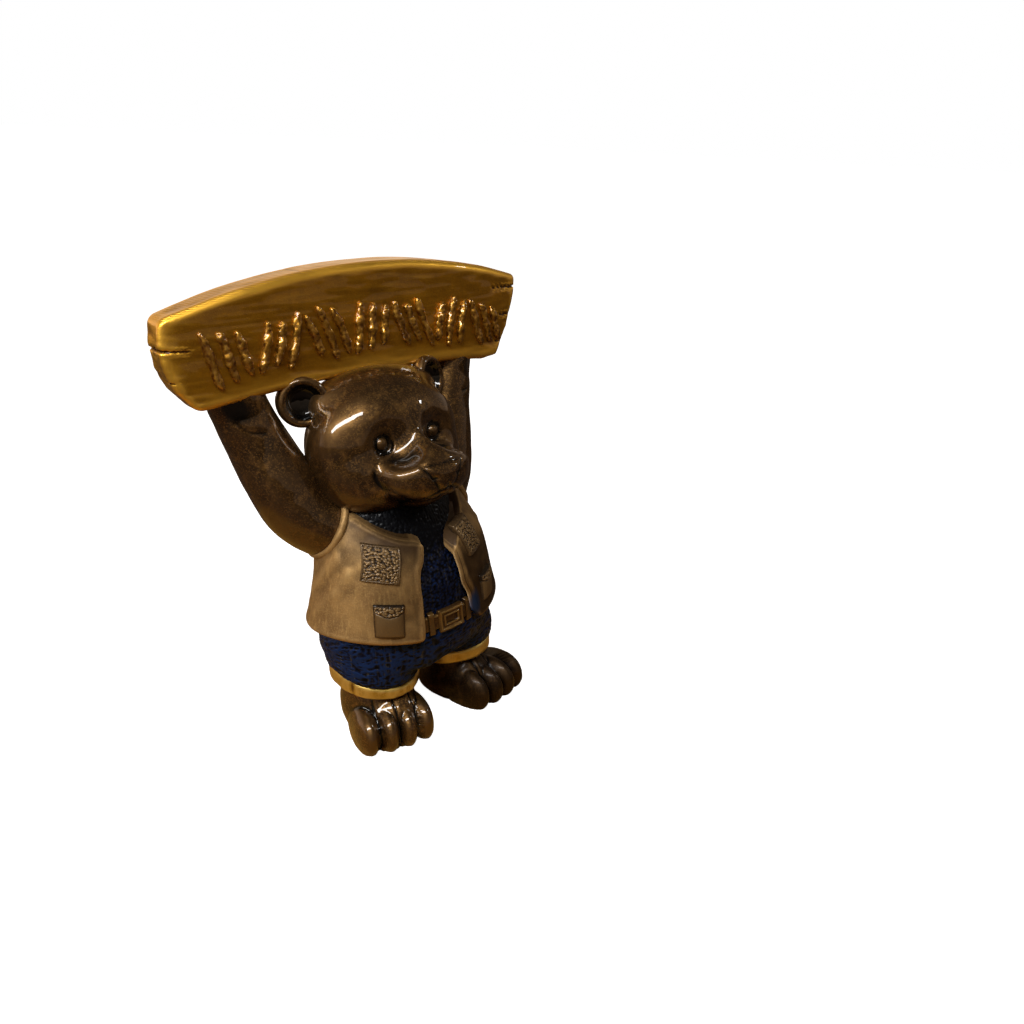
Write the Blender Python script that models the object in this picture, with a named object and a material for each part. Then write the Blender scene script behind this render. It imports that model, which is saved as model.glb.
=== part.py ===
"""Bear statue holding a sign board over its head.

One fused, cast-like body. The shapes are worked out in millimetres as closed
shells, laid into one another, fused by a voxel remesh, carved by a few cutters
and set on flat soles. The bear faces -Y, its own left hand is at +X, and the
origin is on the ground under the middle of its bounding box.
"""

import math

import bpy
import numpy as np

MM = 0.001
# the shapes are drawn about the body's own middle; this brings the whole over the origin
FRAME_SHIFT = (-5.99, 3.85, 0.0)

# ---- driving dimensions, in millimetres ----
SECTION_STEPS = 40          # points round a cross-section

# sign board
BOARD_TOP = 197.9           # top of the arch
BOARD_TOP_X = 12.0          # the arch's highest place
BOARD_TOP_DROP = 0.0017     # fall of the arch, mm per mm squared
BOARD_FOOT = 152.8          # lower edge over the head
BOARD_FOOT_DROP = 0.0008
BOARD_FACE_Y = 11.0         # front face at mid height
BOARD_LEAN = 0.08           # the face leans back, mm per mm of height
BOARD_MID_Z = 170.0
BOARD_THICK = 16.0
BOARD_FRONT_ROUND = 3.2     # radius of the long edges
BOARD_BACK_ROUND = 2.4
BOARD_CORNER = 4.0          # radius of the corners in the face
BOARD_BOW = 3.6             # the face falls back this much at both ends
BOARD_BOW_FROM = 50.0       # and starts to fall this far from the middle
BOARD_MID_X = 4.0
BOARD_HALF = 88.0
# ends of the board, from the arch down to the lower edge: (x, z)
BOARD_RIGHT_END = ((-81.8, 183.0), (-83.2, 174.0), (-82.4, 164.5), (-79.6, 156.8), (-73.5, 149.0))
BOARD_LEFT_END = ((69.0, 149.3), (76.0, 150.6), (79.6, 155.7), (85.7, 163.0), (90.2, 172.0),
                  (93.6, 179.0), (95.3, 186.0))
BOARD_SKEW = 2.7            # the back face is this much shorter at the right end

# splits in the ends: from (x, z) at the end to (x, z) at the tip
CRACKS = (((98.0, 180.5), (76.0, 181.5)), ((95.5, 168.0), (74.0, 169.0)), ((88.0, 155.5), (73.5, 157.5)),
          ((-90.0, 172.5), (-74.0, 171.5)), ((-88.0, 160.0), (-78.0, 160.5)))
CRACK_WIDTH = 1.7
CRACK_DEPTH = 2.2

# raised strokes on the board
MARK_GROUPS = 7
MARK_STROKES = 3
MARK_FIRST_X = -60.0
MARK_PITCH = 21.5
MARK_STROKE_PITCH = 5.6
MARK_HEIGHT = 22.0
MARK_MID_Z = 172.0
MARK_DROP = 0.0012
MARK_RADIUS = 2.0
MARK_PROUD = 0.3            # height of a stroke's centre line over the face
MARK_SLANT = 0.26

# head, worked out as distances from soft-edged lobes
HEAD_MIDDLE = (0.0, 0.0, 122.0)     # the surface is found along rays from here
HEAD_YAW = 1.5                      # turned to the bear's left, degrees
# lobes added: middle, radii, power of the superellipse, softness of the join
SKULL = ((0.0, 2.5, 125.5), (35.2, 20.8, 27.4), 2.2, 0.0)
CHEEKS = ((0.0, -1.0, 114.0), (32.6, 19.0, 17.5), 2.5, 5.0)
MUZZLE = ((0.5, -18.6, 116.4), (20.6, 16.8, 11.8), 2.1, 3.5)
CROWN = ((2.0, 9.0, 143.6), (29.5, 12.0, 11.2), 2.1, 7.0)
BRIDGE = ((0.6, -15.5, 125.0), (13.5, 12.0, 9.0), 2.0, 8.0)
JAW = ((1.4, -13.0, 106.5), (12.0, 13.0, 6.5), 2.2, 1.2)
NOSE = ((-0.2, -31.2, 118.6), (7.0, 4.7, 4.2), 2.3, 0.8)
EYE = (13.7, -11.6, 129.4)
EYE_RADIUS = 3.0
BROW_HOLLOW = ((13.6, -22.6, 131.4), (9.6, 9.4, 9.0), 2.0, 5.5)
SOCKET = ((13.7, -13.9, 129.4), (4.9, 2.6, 4.9), 2.0, 0.8)
EAR = (31.8, 10.0, 146.1)
EAR_AXIS = (0.34, -0.93, 0.12)
# half section of an ear: distance from its axis, height along the axis
EAR_PROFILE = ((3.0, -1.2), (5.2, -0.2), (6.5, 1.6), (7.4, 2.9), (8.6, 3.0),
               (9.8, 2.0), (10.3, 0.2), (9.8, -2.0), (7.6, -4.0), (4.0, -5.2))

# arms: centre line and radius, from inside the shoulder up to the sign
ARM = ((14.0, 1.0, 87.0, 14.5), (27.5, 5.0, 93.0, 13.6), (37.6, 10.5, 102.8, 13.8),
       (43.4, 15.0, 117.5, 13.2), (47.6, 18.3, 131.0, 11.9), (52.0, 19.5, 143.0, 10.9),
       (54.5, 19.5, 150.0, 10.6), (55.0, 19.5, 154.0, 9.0))
ARM_RIM = (30.0, 4.5, 95.5, 13.4, 1.6)         # vest's rim round the arm
ARM_RIM_AXIS = (0.86, 0.2, 0.47)
PALM = (56.0, 7.5, 147.5)
PALM_RADII = (7.2, 4.0, 5.6)

# trunk sections: height, centre y, half width, half depth
TRUNK = ((29.0, -6.0, 34.0, 22.0), (36.0, -6.0, 39.0, 26.4), (46.0, -6.0, 40.6, 28.0),
         (54.0, -5.5, 38.5, 27.6), (70.0, -5.5, 37.0, 26.8), (85.0, -3.5, 34.0, 23.5),
         (97.0, -0.5, 30.0, 20.0), (108.0, 2.0, 25.0, 16.5), (116.0, 3.0, 20.0, 14.0))
VEST = ((44.0, -5.0, 45.0, 32.8), (52.0, -5.0, 45.4, 33.0), (62.0, -5.5, 43.0, 31.2),
        (74.0, -5.5, 40.2, 30.0), (85.0, -4.0, 38.0, 28.0), (95.0, -1.0, 34.5, 24.0),
        (104.0, 1.5, 30.0, 20.0), (112.0, 3.0, 26.0, 17.0))
VEST_WALL = 4.2
# distance of each front edge from the middle: (height, x)
VEST_RIGHT_EDGE = ((48.6, 15.0), (64.6, 14.1), (72.0, 14.1), (79.4, 12.9), (85.2, 10.2), (88.4, 9.0))
VEST_LEFT_EDGE = ((46.6, 15.0), (51.9, 11.8), (61.6, 10.6), (70.0, 7.6), (79.2, 6.5), (87.1, 5.2))
VEST_HEM = 46.8
VEST_HEM_RISE = 6.4         # the hem is this much higher at the sides
VEST_NECK = (90.8, 88.2)    # top of the front corners, right and left
VEST_SHOULDER = 103.0
NECK_FROM = (math.radians(16.0), math.radians(7.0))     # the neck line climbs between these turns
NECK_TO = (math.radians(74.0), math.radians(60.0))
# pockets: middle (x, z), half width as (x, z), half height as (x, z), how proud
POCKETS = (((-26.0, 83.8), (5.7, -1.5), (2.3, 7.1), 1.3), ((-27.9, 60.6), (5.0, -0.9), (0.8, 6.9), 2.6),
           ((15.8, 85.4), (5.1, 1.2), (-2.1, 6.9), 1.3), ((22.5, 61.4), (4.7, 0.8), (-0.2, 6.0), 2.6))

# belt and buckle
BELT_Z = 53.5
BELT_HALF = 3.6
BELT_PROUD = 1.2
BUCKLE_HALF = (6.4, 4.9)
BUCKLE_BAR = 1.5

# legs, cuffs and feet
LEG_X = (20.5, 22.0)        # right and left leg, distance from the middle
LEG_Y = -7.5
# height, middle y, half width, half depth
LEG_SECTIONS = ((10.0, -9.5, 13.8, 14.8), (16.0, -9.0, 15.0, 15.2), (21.0, -8.0, 16.2, 16.2),
                (27.5, -7.5, 17.2, 17.2), (31.0, -7.5, 19.6, 19.4), (38.0, -7.0, 19.0, 20.0),
                (46.0, -6.0, 15.0, 16.5))
CUFF_RADII = (18.7, 18.9)
# right and left cuff: middle height at the leg's side, its rise to the back, half height there
# and its growth to the back, each per mm
CUFFS = ((30.6, 0.38, 3.9, 0.085), (24.9, 0.0, 3.0, 0.0))
CUFF_LEVEL_FROM = 2.0       # behind this depth a cuff rises no more
CUFF_PLAIN_Z = 24.9         # the leg sections are drawn for a level cuff at this height
# sole sections in the foot's own frame: height, forward, half width, half depth
FOOT_SECTIONS = ((-2.0, 1.5, 11.6, 16.5), (2.0, 1.5, 12.4, 17.4), (7.0, 1.5, 12.6, 17.4),
                 (13.0, 1.5, 12.2, 16.5), (18.0, 0.5, 12.0, 14.0))
INSTEP = (21.5, -17.5, 11.5)
INSTEP_RADII = (12.5, 13.0, 10.5)
HEEL = (20.5, -2.0, 6.0)
HEEL_RADII = (9.6, 12.0, 9.5)
TOE_SPACING = 7.7
TOE_RADII = (5.1, 14.2, 10.4)
TOE_BACK = 3.0              # the toes' middles lie behind the toe row
TOE_SPREAD = 2.0            # each toe turned from its neighbour, degrees
FOOT_BALL_RADII = (14.4, 11.0, 9.0)
FOOT_BALL_BACK = 8.0
TOE_Z = 7.0
TOE_ARC = 0.012             # outer toes lie back by this times their distance squared
# each foot: side, middle of its toe row, middle of its sole, turn outwards in degrees
FEET = ((-1.0, (-25.0, -23.6), (-22.4, -12.0), 18.0), (1.0, (28.0, -27.0), (25.0, -14.0), 6.0))

GROUND_BLOCK = 300.0        # the block that cuts the soles flat
GROUND_DEPTH = 30.0
VOXEL = 0.85
KEPT_SHARE = 0.0368         # share of the fused body's faces that is kept

SIDES = (-1.0, 1.0)


# ---- closed shells from numbers ----

def unit(vector):
    vector = np.asarray(vector, float)
    return vector / np.linalg.norm(vector)


def shell(rings):
    """Closed shell from rings of points: (rows, columns, 3), closed by a point at each end."""
    rings = np.asarray(rings, float)
    rows, columns, _ = rings.shape
    points = np.vstack([rings.reshape(-1, 3), rings[0].mean(0), rings[-1].mean(0)])
    first, last = rows * columns, rows * columns + 1
    column = np.arange(columns)
    after = (column + 1) % columns
    faces = []
    for row in range(rows - 1):
        low, high = row * columns, (row + 1) * columns
        faces += [(low + a, low + b, high + b, high + a) for a, b in zip(column, after)]
    top = (rows - 1) * columns
    faces += [(first, b, a) for a, b in zip(column, after)]
    faces += [(last, top + a, top + b) for a, b in zip(column, after)]
    return outward(points, faces)


def outward(points, faces):
    """The shell with its faces turned out: its volume, summed over triangles, is positive."""
    volume = 0.0
    for face in faces:
        a = points[face[0]]
        for b, c in zip(face[1:-1], face[2:]):
            volume += np.dot(a, np.cross(points[b], points[c]))
    if volume < 0:
        faces = [tuple(reversed(face)) for face in faces]
    return points, faces


def frame_of(axis):
    """Two directions square to the axis and to each other."""
    axis = unit(axis)
    side = unit(np.cross(axis, (0.0, 0.0, 1.0) if abs(axis[2]) < 0.9 else (0.0, 1.0, 0.0)))
    return side, np.cross(side, axis)


def turned(centre, axis, profile, steps=SECTION_STEPS):
    """Solid of revolution: a (radius, height) profile turned round the axis."""
    side, up = frame_of(axis)
    turn = np.linspace(0, 2 * math.pi, steps, endpoint=False)
    around = np.cos(turn)[:, None] * side + np.sin(turn)[:, None] * up
    rings = [np.asarray(centre) + radius * around + height * unit(axis) for radius, height in profile]
    return shell(rings)


def ball(centre, radii, turn=0.0, tip=0.0, rows=18, columns=28):
    """Ellipsoid, tipped about X and then turned about Z, in degrees."""
    fall = np.linspace(0, math.pi, rows + 2)[1:-1, None]
    around = np.linspace(0, 2 * math.pi, columns, endpoint=False)[None, :]
    x = radii[0] * np.sin(fall) * np.cos(around)
    y = radii[1] * np.sin(fall) * np.sin(around)
    z = radii[2] * np.cos(fall) * np.ones_like(around)
    t, r = math.radians(turn), math.radians(tip)
    y, z = y * math.cos(r) - z * math.sin(r), y * math.sin(r) + z * math.cos(r)
    x, y = x * math.cos(t) - y * math.sin(t), x * math.sin(t) + y * math.cos(t)
    return shell(np.stack([x, y, z], -1) + np.asarray(centre, float))


def smooth_path(points, steps):
    """Catmull-Rom curve through the points; each point may carry its radius as well."""
    points = np.asarray(points, float)
    padded = np.vstack([2 * points[0] - points[1], points, 2 * points[-1] - points[-2]])
    curve = []
    for a, b, c, d in zip(padded[:-3], padded[1:-2], padded[2:-1], padded[3:]):
        t = np.linspace(0, 1, steps, endpoint=False)[:, None]
        curve.append(0.5 * (2 * b + (c - a) * t + (2 * a - 5 * b + 4 * c - d) * t ** 2
                            + (3 * b - a - 3 * c + d) * t ** 3))
    return np.vstack(curve + [points[-1:]])


def tube(points, steps=6, closed=False, sides=24):
    """Round tube through (x, y, z, radius) points, with round ends."""
    path = smooth_path(points, steps)
    centre, radius = path[:, :3], path[:, 3]
    along = np.gradient(centre, axis=0)
    along /= np.linalg.norm(along, axis=1)[:, None]
    cap = np.linspace(0, math.pi / 2, 6)[1:]
    rings, side = [], frame_of(along[0])[0]
    turn = np.linspace(0, 2 * math.pi, sides, endpoint=False)

    def ring(middle, direction, size):
        nonlocal side
        side = unit(side - np.dot(side, direction) * direction)
        up = np.cross(direction, side)
        return middle + size * (np.cos(turn)[:, None] * side + np.sin(turn)[:, None] * up)

    for angle in cap[::-1]:
        shrink, back = math.cos(angle), math.sin(angle)
        if shrink > 0.05:
            rings.append(ring(centre[0] - back * radius[0] * along[0], along[0], shrink * radius[0]))
    for middle, direction, size in zip(centre, along, radius):
        rings.append(ring(middle, direction, size))
    for angle in cap:
        shrink, ahead = math.cos(angle), math.sin(angle)
        if shrink > 0.05:
            rings.append(ring(centre[-1] + ahead * radius[-1] * along[-1], along[-1], shrink * radius[-1]))
    return shell(rings)


def torus(centre, axis, major, minor, sides=32, steps=12):
    """Closed ring round the axis."""
    side, up = frame_of(axis)
    around = np.linspace(0, 2 * math.pi, sides, endpoint=False)
    turn = np.linspace(0, 2 * math.pi, steps, endpoint=False)
    points, faces = [], []
    for a in around:
        out = math.cos(a) * side + math.sin(a) * up
        for t in turn:
            points.append(np.asarray(centre) + (major + minor * math.cos(t)) * out
                          + minor * math.sin(t) * unit(axis))
    for i in range(sides):
        for j in range(steps):
            a, b = i * steps, ((i + 1) % sides) * steps
            k = (j + 1) % steps
            faces.append((a + j, b + j, b + k, a + k))
    return outward(np.array(points), faces)


def section(levels, z):
    """Centre y, half width and half depth of a lofted form at height z."""
    levels = np.asarray(levels)
    return [np.interp(z, levels[:, 0], levels[:, k]) for k in (1, 2, 3)]


def on_section(levels, angle, z, out=0.0):
    """Point of a lofted form: angle 0 faces -Y and grows towards +X; out is along the section's radius."""
    centre_y, half_width, half_depth = section(levels, z)
    x = (half_width + out) * np.sin(angle)
    y = centre_y - (half_depth + out) * np.cos(angle)
    return np.stack(np.broadcast_arrays(x, y, z), -1)


def loft(levels, steps=4):
    """Stack of ellipses, smoothed between the given levels."""
    dense = smooth_path(levels, steps)
    angle = np.linspace(0, 2 * math.pi, SECTION_STEPS, endpoint=False)
    rings = []
    for z, centre_y, half_width, half_depth in dense:
        x = half_width * np.sin(angle)
        y = centre_y - half_depth * np.cos(angle)
        rings.append(np.stack([x, y, np.full_like(x, z)], -1))
    return shell(rings)


# ---- the sign board ----

def arch(x):
    return BOARD_TOP - BOARD_TOP_DROP * (x - BOARD_TOP_X) ** 2


def foot_line(x):
    return BOARD_FOOT - BOARD_FOOT_DROP * x ** 2


def face_y(x, z):
    """Depth of the board's face: it leans back and falls away towards both ends."""
    past = np.maximum(np.abs(x - BOARD_MID_X) - BOARD_BOW_FROM, 0) / (BOARD_HALF - BOARD_BOW_FROM)
    return BOARD_FACE_Y + BOARD_LEAN * (z - BOARD_MID_Z) + BOARD_BOW * past ** 2


def board_outline(step=1.5):
    """Closed line of the board's face: arch, left end, lower edge, right end, with rounded corners."""
    top_x = np.linspace(BOARD_RIGHT_END[0][0], BOARD_LEFT_END[-1][0], 60)
    low_x = np.linspace(BOARD_LEFT_END[0][0], BOARD_RIGHT_END[-1][0], 60)
    corners = [(x, arch(x)) for x in top_x]
    corners += list(reversed(BOARD_LEFT_END))
    corners += [(x, foot_line(x)) for x in low_x[1:-1]]
    corners += list(reversed(BOARD_RIGHT_END))
    corners = np.array(corners + corners[:1])
    length = np.concatenate([[0], np.cumsum(np.linalg.norm(np.diff(corners, axis=0), axis=1))])
    even = np.arange(0, length[-1], step)
    line = np.stack([np.interp(even, length, corners[:, k]) for k in (0, 1)], -1)
    reach = int(BOARD_CORNER / step)
    return sum(np.roll(line, k, axis=0) for k in range(-reach, reach + 1)) / (2 * reach + 1)


def board():
    """The outline carried from front to back, drawn in along a quarter circle at both faces."""
    line = board_outline()
    along = np.roll(line, -1, axis=0) - np.roll(line, 1, axis=0)
    along /= np.linalg.norm(along, axis=1)[:, None]
    inward = np.stack([along[:, 1], -along[:, 0]], -1)
    quarter = np.linspace(0, math.pi / 2, 6)
    depth = np.concatenate([BOARD_FRONT_ROUND * (1 - np.sin(quarter[::-1])),
                            BOARD_THICK - BOARD_BACK_ROUND * (1 - np.sin(quarter))])
    inset = np.concatenate([BOARD_FRONT_ROUND * (1 - np.cos(quarter[::-1])),
                            BOARD_BACK_ROUND * (1 - np.cos(quarter))])
    rings = []
    for y, back in zip(depth, inset):
        edge = line + inward * back
        front = face_y(edge[:, 0], edge[:, 1])
        flat = face_y(BOARD_MID_X, edge[:, 1])
        share = y / BOARD_THICK
        edge[:, 0] += BOARD_SKEW * share * smooth_step(-50.0, -78.0, edge[:, 0])
        rings.append(np.stack([edge[:, 0], (1 - share) * front + share * flat + y, edge[:, 1]], -1))
    return shell(rings)


def marks():
    """Seven groups of slanting strokes, leaning one way and the other in turn."""
    found = []
    for group in range(MARK_GROUPS):
        middle = MARK_FIRST_X + group * MARK_PITCH
        lean = MARK_SLANT if group % 2 else -MARK_SLANT
        for stroke in range(MARK_STROKES):
            x = middle + (stroke - (MARK_STROKES - 1) / 2) * MARK_STROKE_PITCH
            z = MARK_MID_Z - MARK_DROP * x ** 2
            half = (MARK_HEIGHT / 2 - MARK_RADIUS) * (1.0 - 0.14 * ((stroke + group) % 3))
            ends = []
            for t in (-1.0, -0.3, 0.4, 1.0):
                height = z + t * half
                bow = 0.5 * math.sin(2.2 * t + group)
                across = x + t * half * lean + bow
                ends.append((across, face_y(across, height) - MARK_PROUD, height, MARK_RADIUS))
            found.append(tube(ends, steps=3, sides=10))
    return found


# ---- head, arms and body ----

def lobe(points, middle, radii):
    """Signed distance to a superellipsoid, measured along the ray from its own middle."""
    radii, power = radii
    away = points - np.asarray(middle)
    level = (np.abs(away / np.asarray(radii)) ** power).sum(-1) ** (1 / power)
    return np.linalg.norm(away, axis=-1) * (1 - 1 / np.maximum(level, 1e-6))


def joined(a, b, soft):
    """Union of two distances with a fillet of about the given size."""
    if soft <= 0:
        return np.minimum(a, b)
    share = np.clip(0.5 + 0.5 * (b - a) / soft, 0, 1)
    return b + (a - b) * share - soft * share * (1 - share)


def head_distance(points):
    """Distance to the head: skull, cheeks, muzzle, jaw and nose joined, eye hollows cut, eyes set in."""
    found = lobe(points, SKULL[0], SKULL[1:3])
    for middle, radii, power, soft in (CHEEKS, CROWN, MUZZLE, BRIDGE, JAW, NOSE):
        found = joined(found, lobe(points, middle, (radii, power)), soft)
    mirrored = np.abs(points * (1, 0, 0)) + points * (0, 1, 1)
    for middle, radii, power, soft in (BROW_HOLLOW, SOCKET):
        found = -joined(-found, lobe(mirrored, middle, (radii, power)), soft)
    eye = np.linalg.norm(mirrored - np.asarray(EYE), axis=-1) - EYE_RADIUS
    return joined(found, eye, 0.3)


def head(rows=70, columns=110):
    """The head's surface, found by halving steps along rays; the grid's pole points forward."""
    fall = np.linspace(0, math.pi, rows + 2)[1:-1, None]
    around = np.linspace(0, 2 * math.pi, columns, endpoint=False)[None, :]
    rays = np.stack([np.sin(fall) * np.cos(around), -np.cos(fall) * np.ones_like(around),
                     np.sin(fall) * np.sin(around)], -1)
    near, far = np.full(rays.shape[:2], 6.0), np.full(rays.shape[:2], 60.0)
    for _ in range(26):
        middle = (near + far) / 2
        outside = head_distance(np.asarray(HEAD_MIDDLE) + rays * middle[..., None]) > 0
        near, far = np.where(outside, near, middle), np.where(outside, middle, far)
    points = rays * near[..., None]
    cos, sin = math.cos(math.radians(HEAD_YAW)), math.sin(math.radians(HEAD_YAW))
    x, y, z = points[..., 0], points[..., 1], points[..., 2]
    turned_points = np.stack([x * cos - y * sin, x * sin + y * cos, z], -1)
    return shell(turned_points + np.asarray(HEAD_MIDDLE))


def ears():
    found = []
    for side in SIDES:
        axis = (side * EAR_AXIS[0], EAR_AXIS[1], EAR_AXIS[2])
        found.append(turned((side * EAR[0], EAR[1], EAR[2]), axis, EAR_PROFILE, steps=30))
    return found


def arms():
    found = []
    for side in SIDES:
        found.append(tube([(side * x, y, z, r) for x, y, z, r in ARM]))
        x, y, z, major, minor = ARM_RIM
        axis = (side * ARM_RIM_AXIS[0], ARM_RIM_AXIS[1], ARM_RIM_AXIS[2])
        found.append(torus((side * x, y, z), axis, major, minor))
    return found


def smooth_step(low, high, value):
    t = np.clip((value - low) / (high - low), 0, 1)
    return t * t * (3 - 2 * t)


def vest():
    """Wrap open at the front: a C section carried from the hem to the neck, its edges rounded."""
    share = np.linspace(0, 1, 72)
    rings = []
    for v in np.linspace(0, 1, 28):
        edge_z = VEST_HEM + v * (np.array(VEST_NECK) - VEST_HEM)
        start, end = (math.asin(np.interp(z, *np.array(edge).T) / section(VEST, z)[1])
                      for z, edge in zip(edge_z[::-1], (VEST_LEFT_EDGE, VEST_RIGHT_EDGE)))
        angle = start + share * (2 * math.pi - end - start)
        off_front = np.minimum(angle, 2 * math.pi - angle)
        hem = VEST_HEM + VEST_HEM_RISE * np.sin(np.clip(off_front, 0, math.pi / 2)) ** 2
        corner = np.where(angle < math.pi, VEST_NECK[1], VEST_NECK[0])
        low, high = (np.where(angle < math.pi, turn[1], turn[0]) for turn in (NECK_FROM, NECK_TO))
        neck = corner + (VEST_SHOULDER - corner) * smooth_step(low, high, off_front)
        z = hem + v * (neck - hem)
        tuck = 1.2 * abs(2 * v - 1) ** 8
        outer = on_section(VEST, angle, z, -tuck)
        inner = on_section(VEST, angle, z, -VEST_WALL)[::-1]
        rings.append(np.vstack([outer, inner]))
    return shell(rings)


def pocket(middle, across, up, proud):
    """Pillow on the vest: a slanted patch of its surface lifted by a rounded square bump."""
    u = np.linspace(-1, 1, 13)[:, None]
    v = np.linspace(-1, 1, 13)[None, :]
    x = middle[0] + u * across[0] + v * up[0]
    z = middle[1] + u * across[1] + v * up[1]
    angle = np.arcsin(np.clip(x / section(VEST, z)[1], -1, 1))
    lift = proud * (1 - np.abs(u) ** 8) * (1 - np.abs(v) ** 8)
    return patch_solid(on_section(VEST, angle, z, lift), on_section(VEST, angle, z, -2.0))


def patch_solid(top, bottom):
    """Closed solid between two grids of the same size."""
    rows, columns, _ = top.shape
    points = np.vstack([top.reshape(-1, 3), bottom.reshape(-1, 3)])
    below = rows * columns
    faces = []
    for i in range(rows - 1):
        for j in range(columns - 1):
            a, b = i * columns + j, (i + 1) * columns + j
            faces.append((a, b, b + 1, a + 1))
            faces.append((below + a, below + a + 1, below + b + 1, below + b))
    border = [(0, j) for j in range(columns)] + [(i, columns - 1) for i in range(1, rows)]
    border += [(rows - 1, j) for j in range(columns - 2, -1, -1)] + [(i, 0) for i in range(rows - 2, 0, -1)]
    ids = [i * columns + j for i, j in border]
    for a, b in zip(ids, ids[1:] + ids[:1]):
        faces.append((a, b, below + b, below + a))
    return outward(points, faces)


def belt():
    """Band round the trunk under the vest, with the buckle's square frame in front."""
    levels = []
    for z, out in ((-1.0, 0.0), (-0.85, 1.0), (0.85, 1.0), (1.0, 0.0)):
        centre_y, half_width, half_depth = section(TRUNK, BELT_Z)
        levels.append((BELT_Z + z * BELT_HALF, centre_y, half_width + out * BELT_PROUD,
                       half_depth + out * BELT_PROUD))
    found = [loft(levels, steps=1)]
    front = on_section(TRUNK, 0.0, BELT_Z, BELT_PROUD + 0.6)[1]
    w, h = BUCKLE_HALF[0] - BUCKLE_BAR, BUCKLE_HALF[1] - BUCKLE_BAR
    corners = [(-w, -h), (w, -h), (w, h), (-w, h), (-w, -h)]
    for (x0, z0), (x1, z1) in zip(corners[:-1], corners[1:]):
        ends = [(x, front + 0.012 * x * x, BELT_Z + z, BUCKLE_BAR) for x, z in
                ((x0, z0), ((x0 + x1) / 2, (z0 + z1) / 2), (x1, z1))]
        found.append(tube(ends, steps=2, sides=10))
    return found


def leg(middle_x, cuff):
    """Trouser leg and its slanting cuff band."""
    angle = np.linspace(0, 2 * math.pi, SECTION_STEPS, endpoint=False)
    found = []
    rings = []
    middle_z, rise, half, growth = cuff
    for z, middle_y, half_width, half_depth in smooth_path(LEG_SECTIONS, 4):
        x = middle_x + half_width * np.sin(angle)
        y = middle_y - half_depth * np.cos(angle)
        lift = middle_z - CUFF_PLAIN_Z + rise * np.minimum(y - LEG_Y, CUFF_LEVEL_FROM)
        rings.append(np.stack([x, y, z + lift * smooth_step(46.0, 30.0, z)], -1))
    found.append(shell(rings))
    rings = []
    for z, out in ((-1.0, -1.2), (-0.8, 0.0), (0.8, 0.0), (1.0, -1.2)):
        x = middle_x + (CUFF_RADII[0] + out) * np.sin(angle)
        y = LEG_Y - (CUFF_RADII[1] + out) * np.cos(angle)
        back = np.minimum(y - LEG_Y, CUFF_LEVEL_FROM)
        rings.append(np.stack([x, y, middle_z + rise * back + z * (half + growth * back)], -1))
    found.append(shell(rings))
    return found


def foot(side, toe_row, sole, degrees):
    """Sole, heel and four toes, turned outwards."""
    turn = math.radians(degrees) * side
    angle = np.linspace(0, 2 * math.pi, SECTION_STEPS, endpoint=False)
    cos, sin = math.cos(turn), math.sin(turn)

    def placed(middle, x, y, z):
        return np.stack([middle[0] + x * cos - y * sin, middle[1] + x * sin + y * cos, z], -1)

    rings = []
    for z, forward, half_width, half_depth in smooth_path(FOOT_SECTIONS, 3):
        x, y = half_width * np.sin(angle), -forward - half_depth * np.cos(angle)
        rings.append(placed(sole, x, y, np.full_like(x, z)))
    x, y, z = HEEL
    found = [shell(rings), ball((side * x, y, z), HEEL_RADII)]
    x, y, z = INSTEP
    found.append(ball((side * x, y, z), INSTEP_RADII))
    x, y, z = placed(toe_row, np.float64(0.0), np.float64(FOOT_BALL_BACK), np.float64(6.0))
    found.append(ball((x, y, z), FOOT_BALL_RADII, turn=math.degrees(turn)))
    for toe in range(4):
        across = (toe - 1.5) * TOE_SPACING
        back = TOE_BACK + TOE_ARC * across ** 2
        x, y, z = placed(toe_row, np.float64(across), np.float64(back), np.float64(TOE_Z))
        spread = math.degrees(turn) + TOE_SPREAD * (toe - 1.5)
        found.append(ball((x, y, z), TOE_RADII, turn=spread, rows=14, columns=18))
    return found


# ---- meshes, cutters and the finished body ----

def mesh_object(name, shells):
    points, faces, base = [], [], 0
    for some_points, some_faces in shells:
        points.append(some_points)
        faces += [tuple(base + k for k in face) for face in some_faces]
        base += len(some_points)
    mesh = bpy.data.meshes.new(name)
    mesh.from_pydata(((np.vstack(points) + FRAME_SHIFT) * MM).tolist(), [], faces)
    mesh.update()
    made = bpy.data.objects.new(name, mesh)
    bpy.context.scene.collection.objects.link(made)
    return made


def cutter(name, shells):
    made = mesh_object(name, shells)
    made.hide_render = True
    made.display_type = "WIRE"
    return made


def wedge(start, end, width, depth):
    """Pointed prism along the board's face: a crack that narrows from start to end."""
    start, end = np.array(start, float), np.array(end, float)
    rings = []
    for t in (0.0, 0.5, 1.0):
        x, z = start + t * (end - start)
        half = width * (1 - 0.75 * t) / 2
        y = face_y(x, z)
        rings.append([(x, y - 3.0, z - half), (x, y - 3.0, z + half), (x, y + depth * (1 - 0.6 * t), z)])
    return shell(rings)


def end_cracks():
    found = []
    for start, end in CRACKS:
        found.append(wedge(start, end, CRACK_WIDTH, CRACK_DEPTH))
    return found


def principled(name, colour, roughness, metallic):
    material = bpy.data.materials.new(name)
    material.use_nodes = True
    shader = material.node_tree.nodes["Principled BSDF"]
    shader.inputs["Base Color"].default_value = (*colour, 1.0)
    shader.inputs["Roughness"].default_value = roughness
    shader.inputs["Metallic"].default_value = metallic
    shader.inputs["Coat Weight"].default_value = 1.0
    return material


def add_boolean(body, tool, operation):
    cut = body.modifiers.new(f"{operation.lower()} {tool.name}", "BOOLEAN")
    cut.object = tool
    cut.operation = operation
    cut.solver = "MANIFOLD"


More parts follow.
